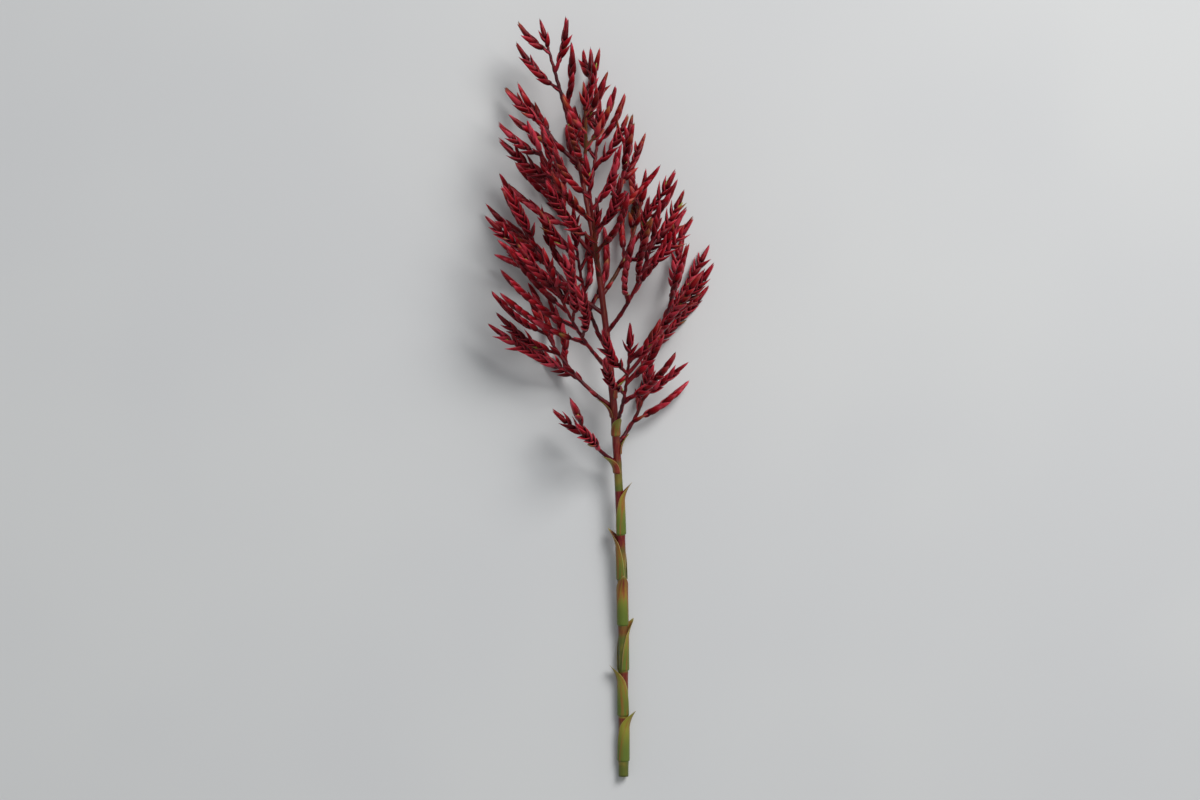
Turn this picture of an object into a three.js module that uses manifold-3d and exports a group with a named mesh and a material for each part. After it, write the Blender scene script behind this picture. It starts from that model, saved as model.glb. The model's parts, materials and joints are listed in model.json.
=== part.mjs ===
// A bromeliad cut flower: a leafless stalk with clasping bracts that carries a branched head of slender
// spikes, each with two rows of pointed bracts. It lies on the plane z = 0, as picked, with the cut end at
// -Y and the tips of the spikes towards +Y. All sizes are in millimetres, and all angles in degrees.
import * as THREE from "three";
import Module from "manifold-3d";

const wasm = await Module();
wasm.setup();

// The stalk, whose upper part is the axis of the head.
const AXIS_LENGTH = 700;
const AXIS_LEAN = -58;
const LEAN_POWER = 3;
const AXIS_RISE = 42;
const AXIS_STEPS = 96;
const STALK_RADIUS = 5.4;
const AXIS_TOP_RADIUS = 1.9;
const TAPER_POWER = 1.5;
const STALK_SIDES = 10;
const STALK_RINGS = 20;

// The branches of the head, counted from the lowest, and the spray that ends the axis.
const BRANCHES = 18;
const HEAD_START = 338;
const HEAD_END = 676;
const GOLDEN_ANGLE = 137.508;
const FIRST_AZIMUTH = 158;
const AZIMUTH_STRAY = 9;
const SHORT_BRANCH = 92;
const LONG_BRANCH = 176;
const TOP_BRANCH = 104;
const LONGEST_RANK = 0.3;
const LOW_SPREAD = 60;
const TOP_SPREAD = 40;
const SPREAD_KEPT = 0.32;
const SPRAY_SPREAD = 4;
const DOWNWARD_SHARE = 0.55;
const LOW_BARE = 0.28;
const TOP_BARE = 0.16;
const SPRAY_BARE = 0.1;
const BRANCH_ROOT = 2.1;
const SPRAY_LENGTH = 118;
const LENGTH_STRAY = 0.06;
const SEED = 4711;

// The spikes that stand on each branch, besides the one that ends it.
const FEWEST_SPIKES = 3;
const MOST_SPIKES = 7;
const FIRST_SPIKE_AFTER = 0.04;
const LAST_SPIKE_AT = 0.68;
const SPIKE_SHARE = 0.68;
const LAST_SPIKE_SIZE = 0.66;
const SPIKE_STRAY = { least: 0.9, most: 1.12 };
const SPIKE_TILT = { least: -22, most: 34 };
const SPIKE_SPREAD = { least: 42, most: 56, kept: 0.22 };
const SPIKE_TURN = 69;
const SPIKE_BARE = 0.16;
const SPIKE_HALF_WIDTH = 1.35;
const SPIKE_POINT = 15;
const POINT_SWELL = 0.7;
const CURL = 1.3;
const STEPS = 24;

// One bract of a spike, and the way from one bract to the next.
const BRACT_PITCH = 11;
const BRACT_LENGTH = 21;
const BRACT_KEEL = 2.4;
const BRACT_MARGIN = 1;
const BRACT_HALF_WIDTH = 2.9;
const BRACT_REACH = 4.3;
const KEEL_AT = 0.4;
const MARGIN_AT = 0.42;
const UPPER_BRACT_SIZE = 0.7;
const UPPER_BRACT_REACH = 0.5;
const BARE_PITCH = 16;
const FOLD_DEPTH = 2;
const TERMINAL_SPIKE_AT = 0.73;

// The room that spikes keep from each other, from the axis and from the surface.
const ROOM_APART = 13;
const ROOM_SAME_BRANCH = 10.5;
const ROOM_BELOW = 3.3;
const ROOM_SHARE = 0.42;
const BEND_POWER = 1.6;
const BEND_ROUNDS = 240;
const BEND_RATE = 0.3;
const ROUNDS_PER_LOOK = 20;

// The clasping bracts of the stalk, and the leafy bracts below the lowest branches.
const SEAT_GAP = 0.3;
const BRACT_WALL = 0.9;
const PRESSED = 0.35;
const BRACT_SLACK = 0.2;
const BRACT_TIP_WRAP = 5;
const BRACT_TAPER = 2.2;
const BRACT_CURVE = 0.7;
const CLASPING = { count: 6, length: 62, sheath: 0.6, wrap: 144, angle: 38, columns: 8, rows: 6 };
const CLASPING_FIRST = 16;
const CLASPING_AZIMUTH = 30;
const CLASPING_SPACING = 49;
const LEAFY = { count: 5, length: 32, sheath: 0.14, wrap: 86, angle: 62, columns: 4, rows: 5 };
const LEAFY_BELOW = 11;

const GROUND = { depth: 200, reach: 1200 };
const RIGHT = new THREE.Vector3(1, 0, 0);
const radians = THREE.MathUtils.degToRad;
const mix = THREE.MathUtils.lerp;

const stalkGreen = new THREE.MeshStandardMaterial({ color: 0x6f6a2c, roughness: 0.45, metalness: 0 });
const leafyGreen = new THREE.MeshStandardMaterial({ color: 0x8f9437, roughness: 0.5, metalness: 0 });
const spikeRed = new THREE.MeshStandardMaterial({ color: 0x8c1722, roughness: 0.4, metalness: 0 });

// Gives the same run of numbers from 0 to 1 for the same seed.
function randomSource(seed) {
  const [multiplier, modulus] = [16807, 2147483647];
  let state = seed;
  return () => {
    state = (state * multiplier) % modulus;
    return state / modulus;
  };
}

// A line of points that knows its place, direction and side at each share of its length.
class Line {
  constructor(points, side) {
    this.points = points;
    this.side = side;
  }

  at(share) {
    const place = THREE.MathUtils.clamp(share, 0, 1) * (this.points.length - 1);
    const low = Math.min(Math.floor(place), this.points.length - 2);
    return this.points[low].clone().lerp(this.points[low + 1], place - low);
  }

  tangent(share) {
    const half = 0.5 / (this.points.length - 1);
    return this.at(share + half).sub(this.at(share - half)).normalize();
  }

  // The line's side, made square to the line and turned about it.
  sideAt(share, turn = 0) {
    const tangent = this.tangent(share);
    const side = this.side.clone().addScaledVector(tangent, -this.side.dot(tangent)).normalize();
    const lift = tangent.clone().cross(side);
    return side.multiplyScalar(Math.cos(turn)).addScaledVector(lift, Math.sin(turn));
  }

  // The point at u and v beside the line, with u along the turned side and v square to it.
  beside(share, turn, u, v) {
    const side = this.sideAt(share, turn);
    const lift = this.tangent(share).cross(side);
    return this.at(share).addScaledVector(side, u).addScaledVector(lift, v);
  }
}

// The middle line of the stalk and the head's axis. It lies level at the cut end, on its bracts, and rises
// into the head, which the lower branches hold up. The head leans to one side.
function axisPoint(share) {
  const rise = (AXIS_RISE * (1 - Math.cos(Math.PI * share))) / 2;
  const level = STALK_RADIUS + SEAT_GAP + BRACT_SLACK + BRACT_WALL - PRESSED;
  return new THREE.Vector3(AXIS_LEAN * share ** LEAN_POWER, AXIS_LENGTH * share, level + rise);
}

function axisRadius(share) {
  return mix(STALK_RADIUS, AXIS_TOP_RADIUS, share ** TAPER_POWER);
}

const axis = new Line(
  Array.from({ length: AXIS_STEPS + 1 }, (_, i) => axisPoint(i / AXIS_STEPS)),
  RIGHT,
);

// A shoot leaves its parent at one angle and turns back towards the parent's direction as it grows.
function growShoot(parent, share, outward, length, startAngle, endAngle) {
  const along = parent.tangent(share);
  const point = parent.at(share);
  const points = [point.clone()];
  for (let i = 0; i < STEPS; i++) {
    const left = 1 - (i + 0.5) / STEPS;
    const angle = radians(endAngle + (startAngle - endAngle) * left ** CURL);
    point.addScaledVector(along, (Math.cos(angle) * length) / STEPS);
    point.addScaledVector(outward, (Math.sin(angle) * length) / STEPS);
    points.push(point.clone());
  }
  return new Line(points, along.clone().cross(outward).normalize());
}

// The lowest branches are short, those above them the longest, and the rest grow shorter to the top.
function branchLength(rank) {
  const quarterTurn = (Math.PI / 2) * (rank / LONGEST_RANK);
  if (rank < LONGEST_RANK) return mix(SHORT_BRANCH, LONG_BRANCH, Math.sin(quarterTurn));
  return mix(LONG_BRANCH, TOP_BRANCH, (rank - LONGEST_RANK) / (1 - LONGEST_RANK));
}

// The way out from the axis at an azimuth, where 0 is to the right and 90 is up. The flower's own weight
// spreads what points down.
function outwardFrom(share, azimuth) {
  const side = axis.sideAt(share, 0);
  const lift = side.clone().cross(axis.tangent(share));
  const rise = Math.sin(azimuth) * (Math.sin(azimuth) < 0 ? DOWNWARD_SHARE : 1);
  return side.multiplyScalar(Math.cos(azimuth)).addScaledVector(lift, rise).normalize();
}

function growBranch(k, random) {
  const isSpray = k === BRANCHES;
  const rank = Math.min(k / (BRANCHES - 1), 1);
  const share = isSpray ? 1 : mix(HEAD_START, HEAD_END, rank) / AXIS_LENGTH;
  const azimuth = radians(FIRST_AZIMUTH + k * GOLDEN_ANGLE + mix(-AZIMUTH_STRAY, AZIMUTH_STRAY, random()));
  const stray = mix(1 - LENGTH_STRAY, 1 + LENGTH_STRAY, random());
  const length = (isSpray ? SPRAY_LENGTH : branchLength(rank)) * stray;
  const spread = isSpray ? SPRAY_SPREAD : mix(LOW_SPREAD, TOP_SPREAD, rank);
  const line = growShoot(axis, share, outwardFrom(share, azimuth), length, spread, spread * SPREAD_KEPT);
  const bare = isSpray ? SPRAY_BARE : mix(LOW_BARE, TOP_BARE, rank);
  const own = { branch: k, parent: null, turn: 0, root: BRANCH_ROOT, spikes: [] };
  return { ...own, leafyFrom: TERMINAL_SPIKE_AT, share, line, length, bare, azimuth };
}

function growSpike(branch, place, hand, rank, random) {
  const tangent = branch.line.tangent(place);
  const side = branch.line.sideAt(place);
  const away = side.clone().cross(tangent);
  const tilt = radians(mix(SPIKE_TILT.least, SPIKE_TILT.most, random()));
  const outward = side.multiplyScalar(hand * Math.cos(tilt)).addScaledVector(away, Math.sin(tilt));
  const stray = mix(SPIKE_STRAY.least, SPIKE_STRAY.most, random());
  const length = branch.length * SPIKE_SHARE * mix(1, LAST_SPIKE_SIZE, rank) * stray;
  const spread = mix(SPIKE_SPREAD.least, SPIKE_SPREAD.most, random());
  const line = growShoot(branch.line, place, outward, length, spread, spread * SPIKE_SPREAD.kept);
  const turn = radians(mix(-SPIKE_TURN, SPIKE_TURN, random()));
  const own = { branch: branch.branch, parent: branch, root: SPIKE_HALF_WIDTH, bare: SPIKE_BARE, spikes: [] };
  return { ...own, leafyFrom: SPIKE_BARE, share: place, hand, line, length, turn };
}

// Every shoot of the head: each branch, then the spikes that stand on it.
function growHead() {
  const random = randomSource(SEED);
  const shoots = [];
  for (let k = 0; k <= BRANCHES; k++) {
    const branch = growBranch(k, random);
    const growth = (branch.length - SHORT_BRANCH) / (LONG_BRANCH - SHORT_BRANCH);
    const fullness = THREE.MathUtils.clamp(growth, 0, 1);
    const count = Math.round(mix(FEWEST_SPIKES, MOST_SPIKES, fullness));
    for (let j = 0; j < count; j++) {
      const rank = j / (count - 1);
      const place = mix(branch.bare + FIRST_SPIKE_AFTER, LAST_SPIKE_AT, rank);
      branch.spikes.push(growSpike(branch, place, (j + k) % 2 ? -1 : 1, rank, random));
    }
    shoots.push(branch, ...branch.spikes);
  }
  return shoots;
}

const bendWeight = (share) => share ** BEND_POWER;
const carriedWeight = (shoot) => (shoot.parent ? bendWeight(shoot.share) : 0);

// The way along the plant from a mark down to the head's axis.
function wayDown({ shoot, share }) {
  return shoot.length * share + (shoot.parent ? shoot.parent.length * shoot.share : 0);
}

// The way along the plant between two marks on different shoots.
function wayBetween(a, b) {
  if (a.shoot.branch !== b.shoot.branch) {
    const base = (mark) => (mark.shoot.parent ?? mark.shoot).share * AXIS_LENGTH;
    return wayDown(a) + wayDown(b) + Math.abs(base(a) - base(b));
  }
  const ownWay = (mark) => (mark.shoot.parent ? mark.shoot.length * mark.share : 0);
  const place = (mark) => (mark.shoot.parent ? mark.shoot.share : mark.share);
  const stem = a.shoot.parent ?? a.shoot;
  return ownWay(a) + ownWay(b) + Math.abs(place(a) - place(b)) * stem.length;
}

// Pairs of marks on different shoots that are near each other, with the room each pair needs.
function nearPairs(marks) {
  const pairs = [];
  const reach = (2 * ROOM_APART) ** 2;
  for (let m = 0; m < marks.length; m++) {
    const a = marks[m];
    for (let n = m + 1; n < marks.length; n++) {
      const b = marks[n];
      if (a.shoot === b.shoot || a.now.distanceToSquared(b.now) > reach) continue;
      const room = a.shoot.branch === b.shoot.branch ? ROOM_SAME_BRANCH : ROOM_APART;
      pairs.push({ a, b, room: Math.min(room, ROOM_SHARE * wayBetween(a, b)) });
    }
  }
  return pairs;
}

// Pushes a mark by a multiple of a step: its shoot bends, and so does the branch that carries the shoot.
function pushMark(mark, step, factor) {
  mark.shoot.push.addScaledVector(step, factor * mark.weight);
  if (mark.shoot.parent) mark.shoot.parent.push.addScaledVector(step, factor * carriedWeight(mark.shoot));
}

// Bends the shoots clear of each other, of the axis and of the surface below. A shoot bends from its root,
// and carries the spikes that stand on it.
function bendClear(shoots) {
  const marks = [];
  for (const shoot of shoots) {
    shoot.bend = new THREE.Vector3();
    shoot.push = new THREE.Vector3();
    shoot.line.points.slice(1).forEach((rest, i) => {
      const share = (i + 1) / STEPS;
      marks.push({ shoot, share, weight: bendWeight(share), rest, now: rest.clone() });
    });
  }
  const rate = (BEND_RATE * (2 * BEND_POWER + 1)) / STEPS;
  const step = new THREE.Vector3();
  let pairs = [];
  for (let round = 0; round < BEND_ROUNDS; round++) {
    for (const mark of marks) {
      mark.now.copy(mark.rest).addScaledVector(mark.shoot.bend, mark.weight);
      if (mark.shoot.parent) mark.now.addScaledVector(mark.shoot.parent.bend, carriedWeight(mark.shoot));
    }
    if (round % ROUNDS_PER_LOOK === 0) pairs = nearPairs(marks);
    for (const { a, b, room } of pairs) {
      const short = room - step.copy(a.now).sub(b.now).length();
      if (short <= 0) continue;
      step.setLength(short / 2);
      pushMark(a, step, 1);
      pushMark(b, step, -1);
    }
    for (const mark of marks) {
      if (mark.now.z < ROOM_BELOW) pushMark(mark, step.set(0, 0, ROOM_BELOW - mark.now.z), 1);
      if (mark.now.y > AXIS_LENGTH) continue;
      step.copy(mark.now).sub(axis.at(mark.now.y / AXIS_LENGTH));
      const short = Math.min(ROOM_APART, ROOM_SHARE * wayDown(mark)) - step.length();
      if (short > 0) pushMark(mark, step.setLength(short), 1);
    }
    for (const shoot of shoots) {
      shoot.bend.addScaledVector(shoot.push, rate);
      shoot.push.set(0, 0, 0);
    }
  }
  for (const shoot of shoots) {
    const points = marks.filter((mark) => mark.shoot === shoot).map((mark) => mark.now);
    const root = shoot.line.points[0].clone();
    if (shoot.parent) root.addScaledVector(shoot.parent.bend, carriedWeight(shoot));
    shoot.line = new Line([root, ...points], shoot.line.side);
  }
}

// Gathers the corners and faces of a closed skin.
class Skin {
  corners = [];
  faces = [];

  corner(point) {
    this.corners.push(point.x, point.y, point.z);
    return this.corners.length / 3 - 1;
  }

  // A face whose corners have run together is left out.
  face(a, b, c) {
    if (a !== b && b !== c && c !== a) this.faces.push(a, b, c);
  }

  quad(a, b, c, d) {
    this.face(a, b, c);
    this.face(a, c, d);
  }

  solid() {
    const vertProperties = new Float32Array(this.corners);
    const triVerts = new Uint32Array(this.faces);
    return new wasm.Manifold(new wasm.Mesh({ numProp: 3, vertProperties, triVerts }));
  }
}

// The stations down both edges of a shoot. A bare stretch has plain ones, on a branch each spike stands in a
// bract's fold, and the rest of the shoot has bracts by turns on one edge and the other.
function stationsOf(shoot) {
  const edges = { 1: [], "-1": [] };
  const leafy = shoot.leafyFrom * shoot.length;
  const bareEnd = shoot.bare * shoot.length;
  const bareCount = Math.max(1, Math.round(bareEnd / BARE_PITCH));
  for (let i = 0; i < bareCount; i++) {
    for (const edge of [1, -1]) edges[edge].push({ way: (bareEnd * i) / bareCount, bract: false });
  }
  for (const { hand, share } of shoot.spikes) {
    edges[hand].push({ way: share * shoot.length - FOLD_DEPTH, bract: true });
  }
  const count = Math.floor((shoot.length - SPIKE_POINT - leafy) / BRACT_PITCH);
  for (let n = 0; n <= count; n++) {
    edges[n % 2 ? -1 : 1].push({ way: leafy + n * BRACT_PITCH, bract: true });
  }
  return edges;
}

// Half the width of a shoot's own stem, which swells into the tight bracts of its tip.
function halfWidthOf(shoot, way) {
  const share = way / (LAST_SPIKE_AT * shoot.length);
  return mix(shoot.root, SPIKE_HALF_WIDTH, Math.min(1, share)) + POINT_SWELL * Math.max(0, share - 1);
}

// Raises one bract on the stretch of an edge between two stations: a boat with a keel and two margins, whose
// tip stands clear of the shoot.
function raiseBract(skin, shoot, edge, from, to) {
  const { line, length, turn } = shoot;
  const age = (from.way / length) ** 2;
  const size = mix(1, UPPER_BRACT_SIZE, age);
  const half = halfWidthOf(shoot, from.way);
  const put = (way, u, v) => {
    const share = (from.way + way) / length;
    return skin.corner(line.beside(share, turn, edge * u, edge * v));
  };
  const reach = BRACT_LENGTH * size;
  const keel = put(KEEL_AT * reach, half + BRACT_KEEL * size, 0);
  const left = put(MARGIN_AT * reach, half + BRACT_MARGIN * size, BRACT_HALF_WIDTH * size);
  const right = put(MARGIN_AT * reach, half + BRACT_MARGIN * size, -BRACT_HALF_WIDTH * size);
  const tip = put(reach, half + BRACT_REACH * mix(1, UPPER_BRACT_REACH, age), 0);
  skin.face(from.second, from.first, keel);
  skin.face(from.first, left, keel);
  skin.face(from.second, keel, right);
  skin.face(from.first, to.first, left);
  skin.face(from.second, right, to.second);
  skin.face(left, to.first, to.second);
  skin.face(left, to.second, right);
  skin.face(left, tip, keel);
  skin.face(right, keel, tip);
  skin.face(left, right, tip);
}

// A whole shoot as one skin: four rails, two to an edge, joined above and below by strips, with a bract
// raised on each stretch that has one, and drawn to a point at the tip.
function shootSolid(shoot) {
  const skin = new Skin();
  const edges = stationsOf(shoot);
  for (const edge of [1, -1]) {
    for (const station of edges[edge]) {
      const half = halfWidthOf(shoot, station.way);
      const share = station.way / shoot.length;
      station.first = skin.corner(shoot.line.beside(share, shoot.turn, edge * half, edge * half));
      station.second = skin.corner(shoot.line.beside(share, shoot.turn, edge * half, -edge * half));
    }
  }
  const [near, far] = [edges[1][0], edges[-1][0]];
  skin.quad(near.first, near.second, far.first, far.second);
  const tip = skin.corner(shoot.line.at(1));
  for (const edge of [1, -1]) edges[edge].push({ way: shoot.length, first: tip, second: tip });
  for (const edge of [1, -1]) {
    const [own, other] = [edges[edge], edges[-edge]];
    own.slice(1).forEach((to, i) => {
      if (own[i].bract) raiseBract(skin, shoot, edge, own[i], to);
      else skin.quad(own[i].second, own[i].first, to.first, to.second);
    });
    let [i, j] = [0, 0];
    while (i < own.length - 1 || j < other.length - 1) {
      const ownNext = own[i + 1]?.way ?? Infinity;
      const otherNext = other[j + 1]?.way ?? Infinity;
      if (ownNext <= otherNext) skin.face(own[i].first, other[j].second, own[++i].first);
      else skin.face(own[i].first, other[j].second, other[++j].second);
    }
  }
  return skin.solid();
}

// The stalk and the head's axis as one tapered body, made fatter by an allowance where a seat is cut.
function axisSolid(allowance = 0) {
  const skin = new Skin();
  const rings = [];
  for (let r = 0; r <= STALK_RINGS; r++) {
    const share = r / STALK_RINGS;
    const past = axis.tangent(share).multiplyScalar(r === STALK_RINGS ? allowance : 0);
    const ring = [];
    for (let i = 0; i < STALK_SIDES; i++) {
      const angle = (2 * Math.PI * i) / STALK_SIDES;
      const radius = axisRadius(share) + allowance;
      const place = axis.beside(share, 0, radius * Math.cos(angle), radius * Math.sin(angle));
      ring.push(skin.corner(place.add(past)));
    }
    rings.push(ring);
  }
  for (let i = 0; i < STALK_SIDES; i++) {
    const next = (i + 1) % STALK_SIDES;
    for (let r = 0; r < STALK_RINGS; r++) {
      skin.quad(rings[r][i], rings[r][next], rings[r + 1][next], rings[r + 1][i]);
    }
    if (i > 0 && next > 0) {
      skin.face(rings[0][0], rings[0][next], rings[0][i]);
      skin.face(rings[STALK_RINGS][0], rings[STALK_RINGS][i], rings[STALK_RINGS][next]);
    }
  }
  return skin.solid();
}

// A bract that clasps the axis with its sheath and then leaves it, narrowing to a point. Its cross-section is
// an arc about a middle line that runs up the axis and turns away.
function claspingSolid(start, azimuth, kind) {
  const skin = new Skin();
  const startShare = start / AXIS_LENGTH;
  const outward = outwardFrom(startShare, azimuth);
  const centre = axis.at(startShare);
  const step = kind.length / kind.rows;
  const grid = [];
  for (let r = 0; r <= kind.rows; r++) {
    const share = r / kind.rows;
    const free = Math.max(0, (share - kind.sheath) / (1 - kind.sheath));
    const place = (start + kind.length * share) / AXIS_LENGTH;
    const tangent = axis.tangent(place);
    const lean = radians(kind.angle * free ** BRACT_CURVE);
    const heading = tangent.clone().multiplyScalar(Math.cos(lean)).addScaledVector(outward, Math.sin(lean));
    if (r > 0) centre.addScaledVector(heading, step);
    if (free === 0) centre.copy(axis.at(place));
    const across = heading.clone().cross(outward).normalize();
    const out = across.clone().cross(heading).normalize();
    const inner = axisRadius(startShare) + SEAT_GAP + BRACT_SLACK;
    const wrap = radians(mix(kind.wrap, BRACT_TIP_WRAP, share ** BRACT_TAPER));
    const row = { inner: [], outer: [] };
    for (let c = 0; c <= kind.columns; c++) {
      const angle = mix(-wrap, wrap, c / kind.columns);
      const ray = out.clone().multiplyScalar(Math.cos(angle)).addScaledVector(across, Math.sin(angle));
      row.inner.push(skin.corner(centre.clone().addScaledVector(ray, inner)));
      row.outer.push(skin.corner(centre.clone().addScaledVector(ray, inner + BRACT_WALL)));
    }
    grid.push(row);
  }
  const last = kind.columns;
  for (let r = 0; r < kind.rows; r++) {
    const [low, high] = [grid[r], grid[r + 1]];
    for (let c = 0; c < last; c++) {
      skin.quad(low.outer[c], low.outer[c + 1], high.outer[c + 1], high.outer[c]);
      skin.quad(low.inner[c + 1], low.inner[c], high.inner[c], high.inner[c + 1]);
    }
    skin.quad(low.inner[0], low.outer[0], high.outer[0], high.inner[0]);
    skin.quad(low.outer[last], low.inner[last], high.inner[last], high.outer[last]);
  }
  for (let c = 0; c < last; c++) {
    const [low, high] = [grid[0], grid[kind.rows]];
    skin.quad(low.inner[c], low.inner[c + 1], low.outer[c + 1], low.outer[c]);
    skin.quad(high.inner[c + 1], high.inner[c], high.outer[c], high.outer[c + 1]);
  }
  return skin.solid();
}

// A block that fills everything below the surface, wide enough for the whole flower.
function groundSolid() {
  const skin = new Skin();
  for (const z of [-GROUND.depth, 0]) {
    skin.corner(new THREE.Vector3(-GROUND.reach, -GROUND.reach, z));
    skin.corner(new THREE.Vector3(GROUND.reach, -GROUND.reach, z));
    skin.corner(new THREE.Vector3(GROUND.reach, GROUND.reach, z));
    skin.corner(new THREE.Vector3(-GROUND.reach, GROUND.reach, z));
  }
  skin.quad(0, 3, 2, 1);
  skin.quad(4, 5, 6, 7);
  for (let i = 0; i < 4; i++) skin.quad(i, (i + 1) % 4, 4 + ((i + 1) % 4), 4 + i);
  return skin.solid();
}

// Keeps the body that holds the most, so that no loose scrap is left by a cut.
function largest(solid) {
  const bodies = solid.decompose();
  return bodies.reduce((best, body) => (body.volume() > best.volume() ? body : best));
}

const flower = new THREE.Group();
const seat = axisSolid(SEAT_GAP);
const ground = groundSolid();

// Flattens what is pressed on the surface and adds the solid to the flower under its name.
function addNode(name, solid, material) {
  const { vertProperties, triVerts } = largest(solid.subtract(ground)).getMesh();
  const geometry = new THREE.BufferGeometry();
  geometry.setAttribute("position", new THREE.BufferAttribute(vertProperties, 3));
  geometry.setIndex(new THREE.BufferAttribute(triVerts, 1));
  geometry.computeVertexNormals();
  const mesh = new THREE.Mesh(geometry, material);
  mesh.name = name;
  flower.add(mesh);
}

const twoDigits = (number) => String(number).padStart(2, "0");
const head = growHead();
bendClear(head);

addNode("stalk", axisSolid(), stalkGreen);
for (let i = 0; i < CLASPING.count; i++) {
  const azimuth = radians(CLASPING_AZIMUTH + i * GOLDEN_ANGLE);
  const solid = claspingSolid(CLASPING_FIRST + i * CLASPING_SPACING, azimuth, CLASPING);
  addNode(`stalk_bract_${i + 1}`, solid, leafyGreen);
}
for (const branch of head.filter((shoot) => !shoot.parent)) {
  const name = branch.branch === BRANCHES ? "top_spray" : `branch_${twoDigits(branch.branch + 1)}`;
  let solid = shootSolid(branch);
  for (const spike of branch.spikes) solid = solid.add(shootSolid(spike));
  addNode(name, solid.subtract(seat), spikeRed);
  if (branch.branch >= LEAFY.count) continue;
  const leaf = claspingSolid(branch.share * AXIS_LENGTH - LEAFY_BELOW, branch.azimuth, LEAFY);
  addNode(`branch_bract_${branch.branch + 1}`, leaf, leafyGreen);
}

// The origin is below the middle of the whole flower, on the surface.
const middle = new THREE.Box3().setFromObject(flower).getCenter(new THREE.Vector3());
flower.position.set(-middle.x, -middle.y, 0);

export default flower;
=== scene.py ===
"""A bromeliad cut flower, laid down on a pale floor and seen from above.

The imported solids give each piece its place. The script grows the same head again from the same driving
sizes, and dresses it with bracts at their real size, round stems, buds, withered petals, veins and colour.
Sizes are in millimetres and angles in degrees until a mesh is made. Meshes are in metres.
"""
import json
import logging
import math
from dataclasses import dataclass, field, fields, replace
from enum import Enum

import bpy
import numpy as np
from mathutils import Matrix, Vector

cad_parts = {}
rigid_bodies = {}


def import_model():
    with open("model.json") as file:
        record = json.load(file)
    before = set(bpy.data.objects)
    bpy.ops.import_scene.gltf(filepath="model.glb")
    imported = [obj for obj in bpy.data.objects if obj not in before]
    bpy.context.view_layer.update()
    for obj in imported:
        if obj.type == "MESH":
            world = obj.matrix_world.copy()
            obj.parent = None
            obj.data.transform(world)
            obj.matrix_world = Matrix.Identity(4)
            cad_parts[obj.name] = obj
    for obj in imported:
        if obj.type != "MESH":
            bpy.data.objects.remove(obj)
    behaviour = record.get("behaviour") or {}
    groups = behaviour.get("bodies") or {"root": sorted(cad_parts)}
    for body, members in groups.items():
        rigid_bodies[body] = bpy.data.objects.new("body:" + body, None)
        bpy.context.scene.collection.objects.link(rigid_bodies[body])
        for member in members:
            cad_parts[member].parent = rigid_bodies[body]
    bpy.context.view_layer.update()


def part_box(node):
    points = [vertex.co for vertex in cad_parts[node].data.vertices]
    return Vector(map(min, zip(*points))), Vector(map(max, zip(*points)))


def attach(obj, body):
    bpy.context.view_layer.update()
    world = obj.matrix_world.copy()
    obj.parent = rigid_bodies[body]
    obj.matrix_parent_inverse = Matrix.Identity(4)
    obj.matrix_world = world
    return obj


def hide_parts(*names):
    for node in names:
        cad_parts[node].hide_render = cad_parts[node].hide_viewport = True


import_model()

log = logging.getLogger("flower")

MM = 0.001
BODY = "root"
RIGHT = np.array((1.0, 0.0, 0.0))
FLOOR_GAP = 0.15 * MM
FLOOR_GIVE = 0.65 * MM

# The vertices of each face, a closed shape's points with its faces and what is kept at each point, and what
# can feed a node's input.
Faces = list[tuple[int, ...]]
Shell = tuple[np.ndarray, Faces, dict[str, np.ndarray]]
Feed = bpy.types.Node | bpy.types.NodeSocket


@dataclass(frozen=True)
class Habit:
    """The driving sizes of the flower's growth, the same as those of its solids."""

    # The axis, from the cut end to the root of the spray that ends it.
    axis_length: float = 700
    axis_lean: float = -58
    lean_power: float = 3
    axis_rise: float = 42
    axis_steps: int = 96
    stalk_radius: float = 5.4
    axis_top_radius: float = 1.9
    taper_power: float = 1.5
    # The branches. A pair runs from the lowest to the highest, and a third value is the last spray's.
    branches: int = 18
    head_start: float = 338
    head_end: float = 676
    golden_angle: float = 137.508
    first_azimuth: float = 158
    azimuth_stray: float = 9
    short_branch: float = 92
    long_branch: float = 176
    top_branch: float = 104
    longest_rank: float = 0.3
    spreads: tuple[float, float, float] = (60, 40, 4)
    spread_kept: float = 0.32
    downward_share: float = 0.55
    bares: tuple[float, float, float] = (0.28, 0.16, 0.1)
    branch_root: float = 2.1
    spray_length: float = 118
    length_stray: float = 0.06
    seed: int = 4711
    # The spikes on a branch. A pair is the least and the most.
    spike_counts: tuple[int, int] = (3, 7)
    first_spike_after: float = 0.04
    last_spike_at: float = 0.68
    spike_share: float = 0.68
    last_spike_size: float = 0.66
    spike_stray: tuple[float, float] = (0.9, 1.12)
    spike_tilt: tuple[float, float] = (-22, 34)
    spike_spread: tuple[float, float] = (42, 56)
    spike_spread_kept: float = 0.22
    spike_turn: float = 69
    spike_bare: float = 0.16
    spike_half_width: float = 1.35
    point_swell: float = 0.7
    curl: float = 1.3
    steps: int = 24
    terminal_spike_at: float = 0.73
    # The room that shoots keep from each other and from the floor, and how they bend to get it.
    room_apart: float = 13
    room_same_branch: float = 10.5
    room_below: float = 3.3
    room_share: float = 0.42
    bend_power: float = 1.6
    bend_rounds: int = 240
    bend_rate: float = 0.3
    rounds_per_look: int = 20
    look_reach: float = 2
    # The leafy bracts on the stalk and under the lowest branches, and how they sit on it.
    stalk_bracts: int = 6
    stalk_bract_first: float = 16
    stalk_bract_spacing: float = 49
    stalk_bract_azimuth: float = 30
    branch_bracts: int = 5
    branch_bract_below: float = 11
    seat_gap: float = 0.3
    bract_wall: float = 0.9
    pressed: float = 0.35
    bract_slack: float = 0.2


HABIT = Habit()


def mix(low: float, high: float, share: float) -> float:
    """The value a share of the way from low to high."""
    return low + (high - low) * share


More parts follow.
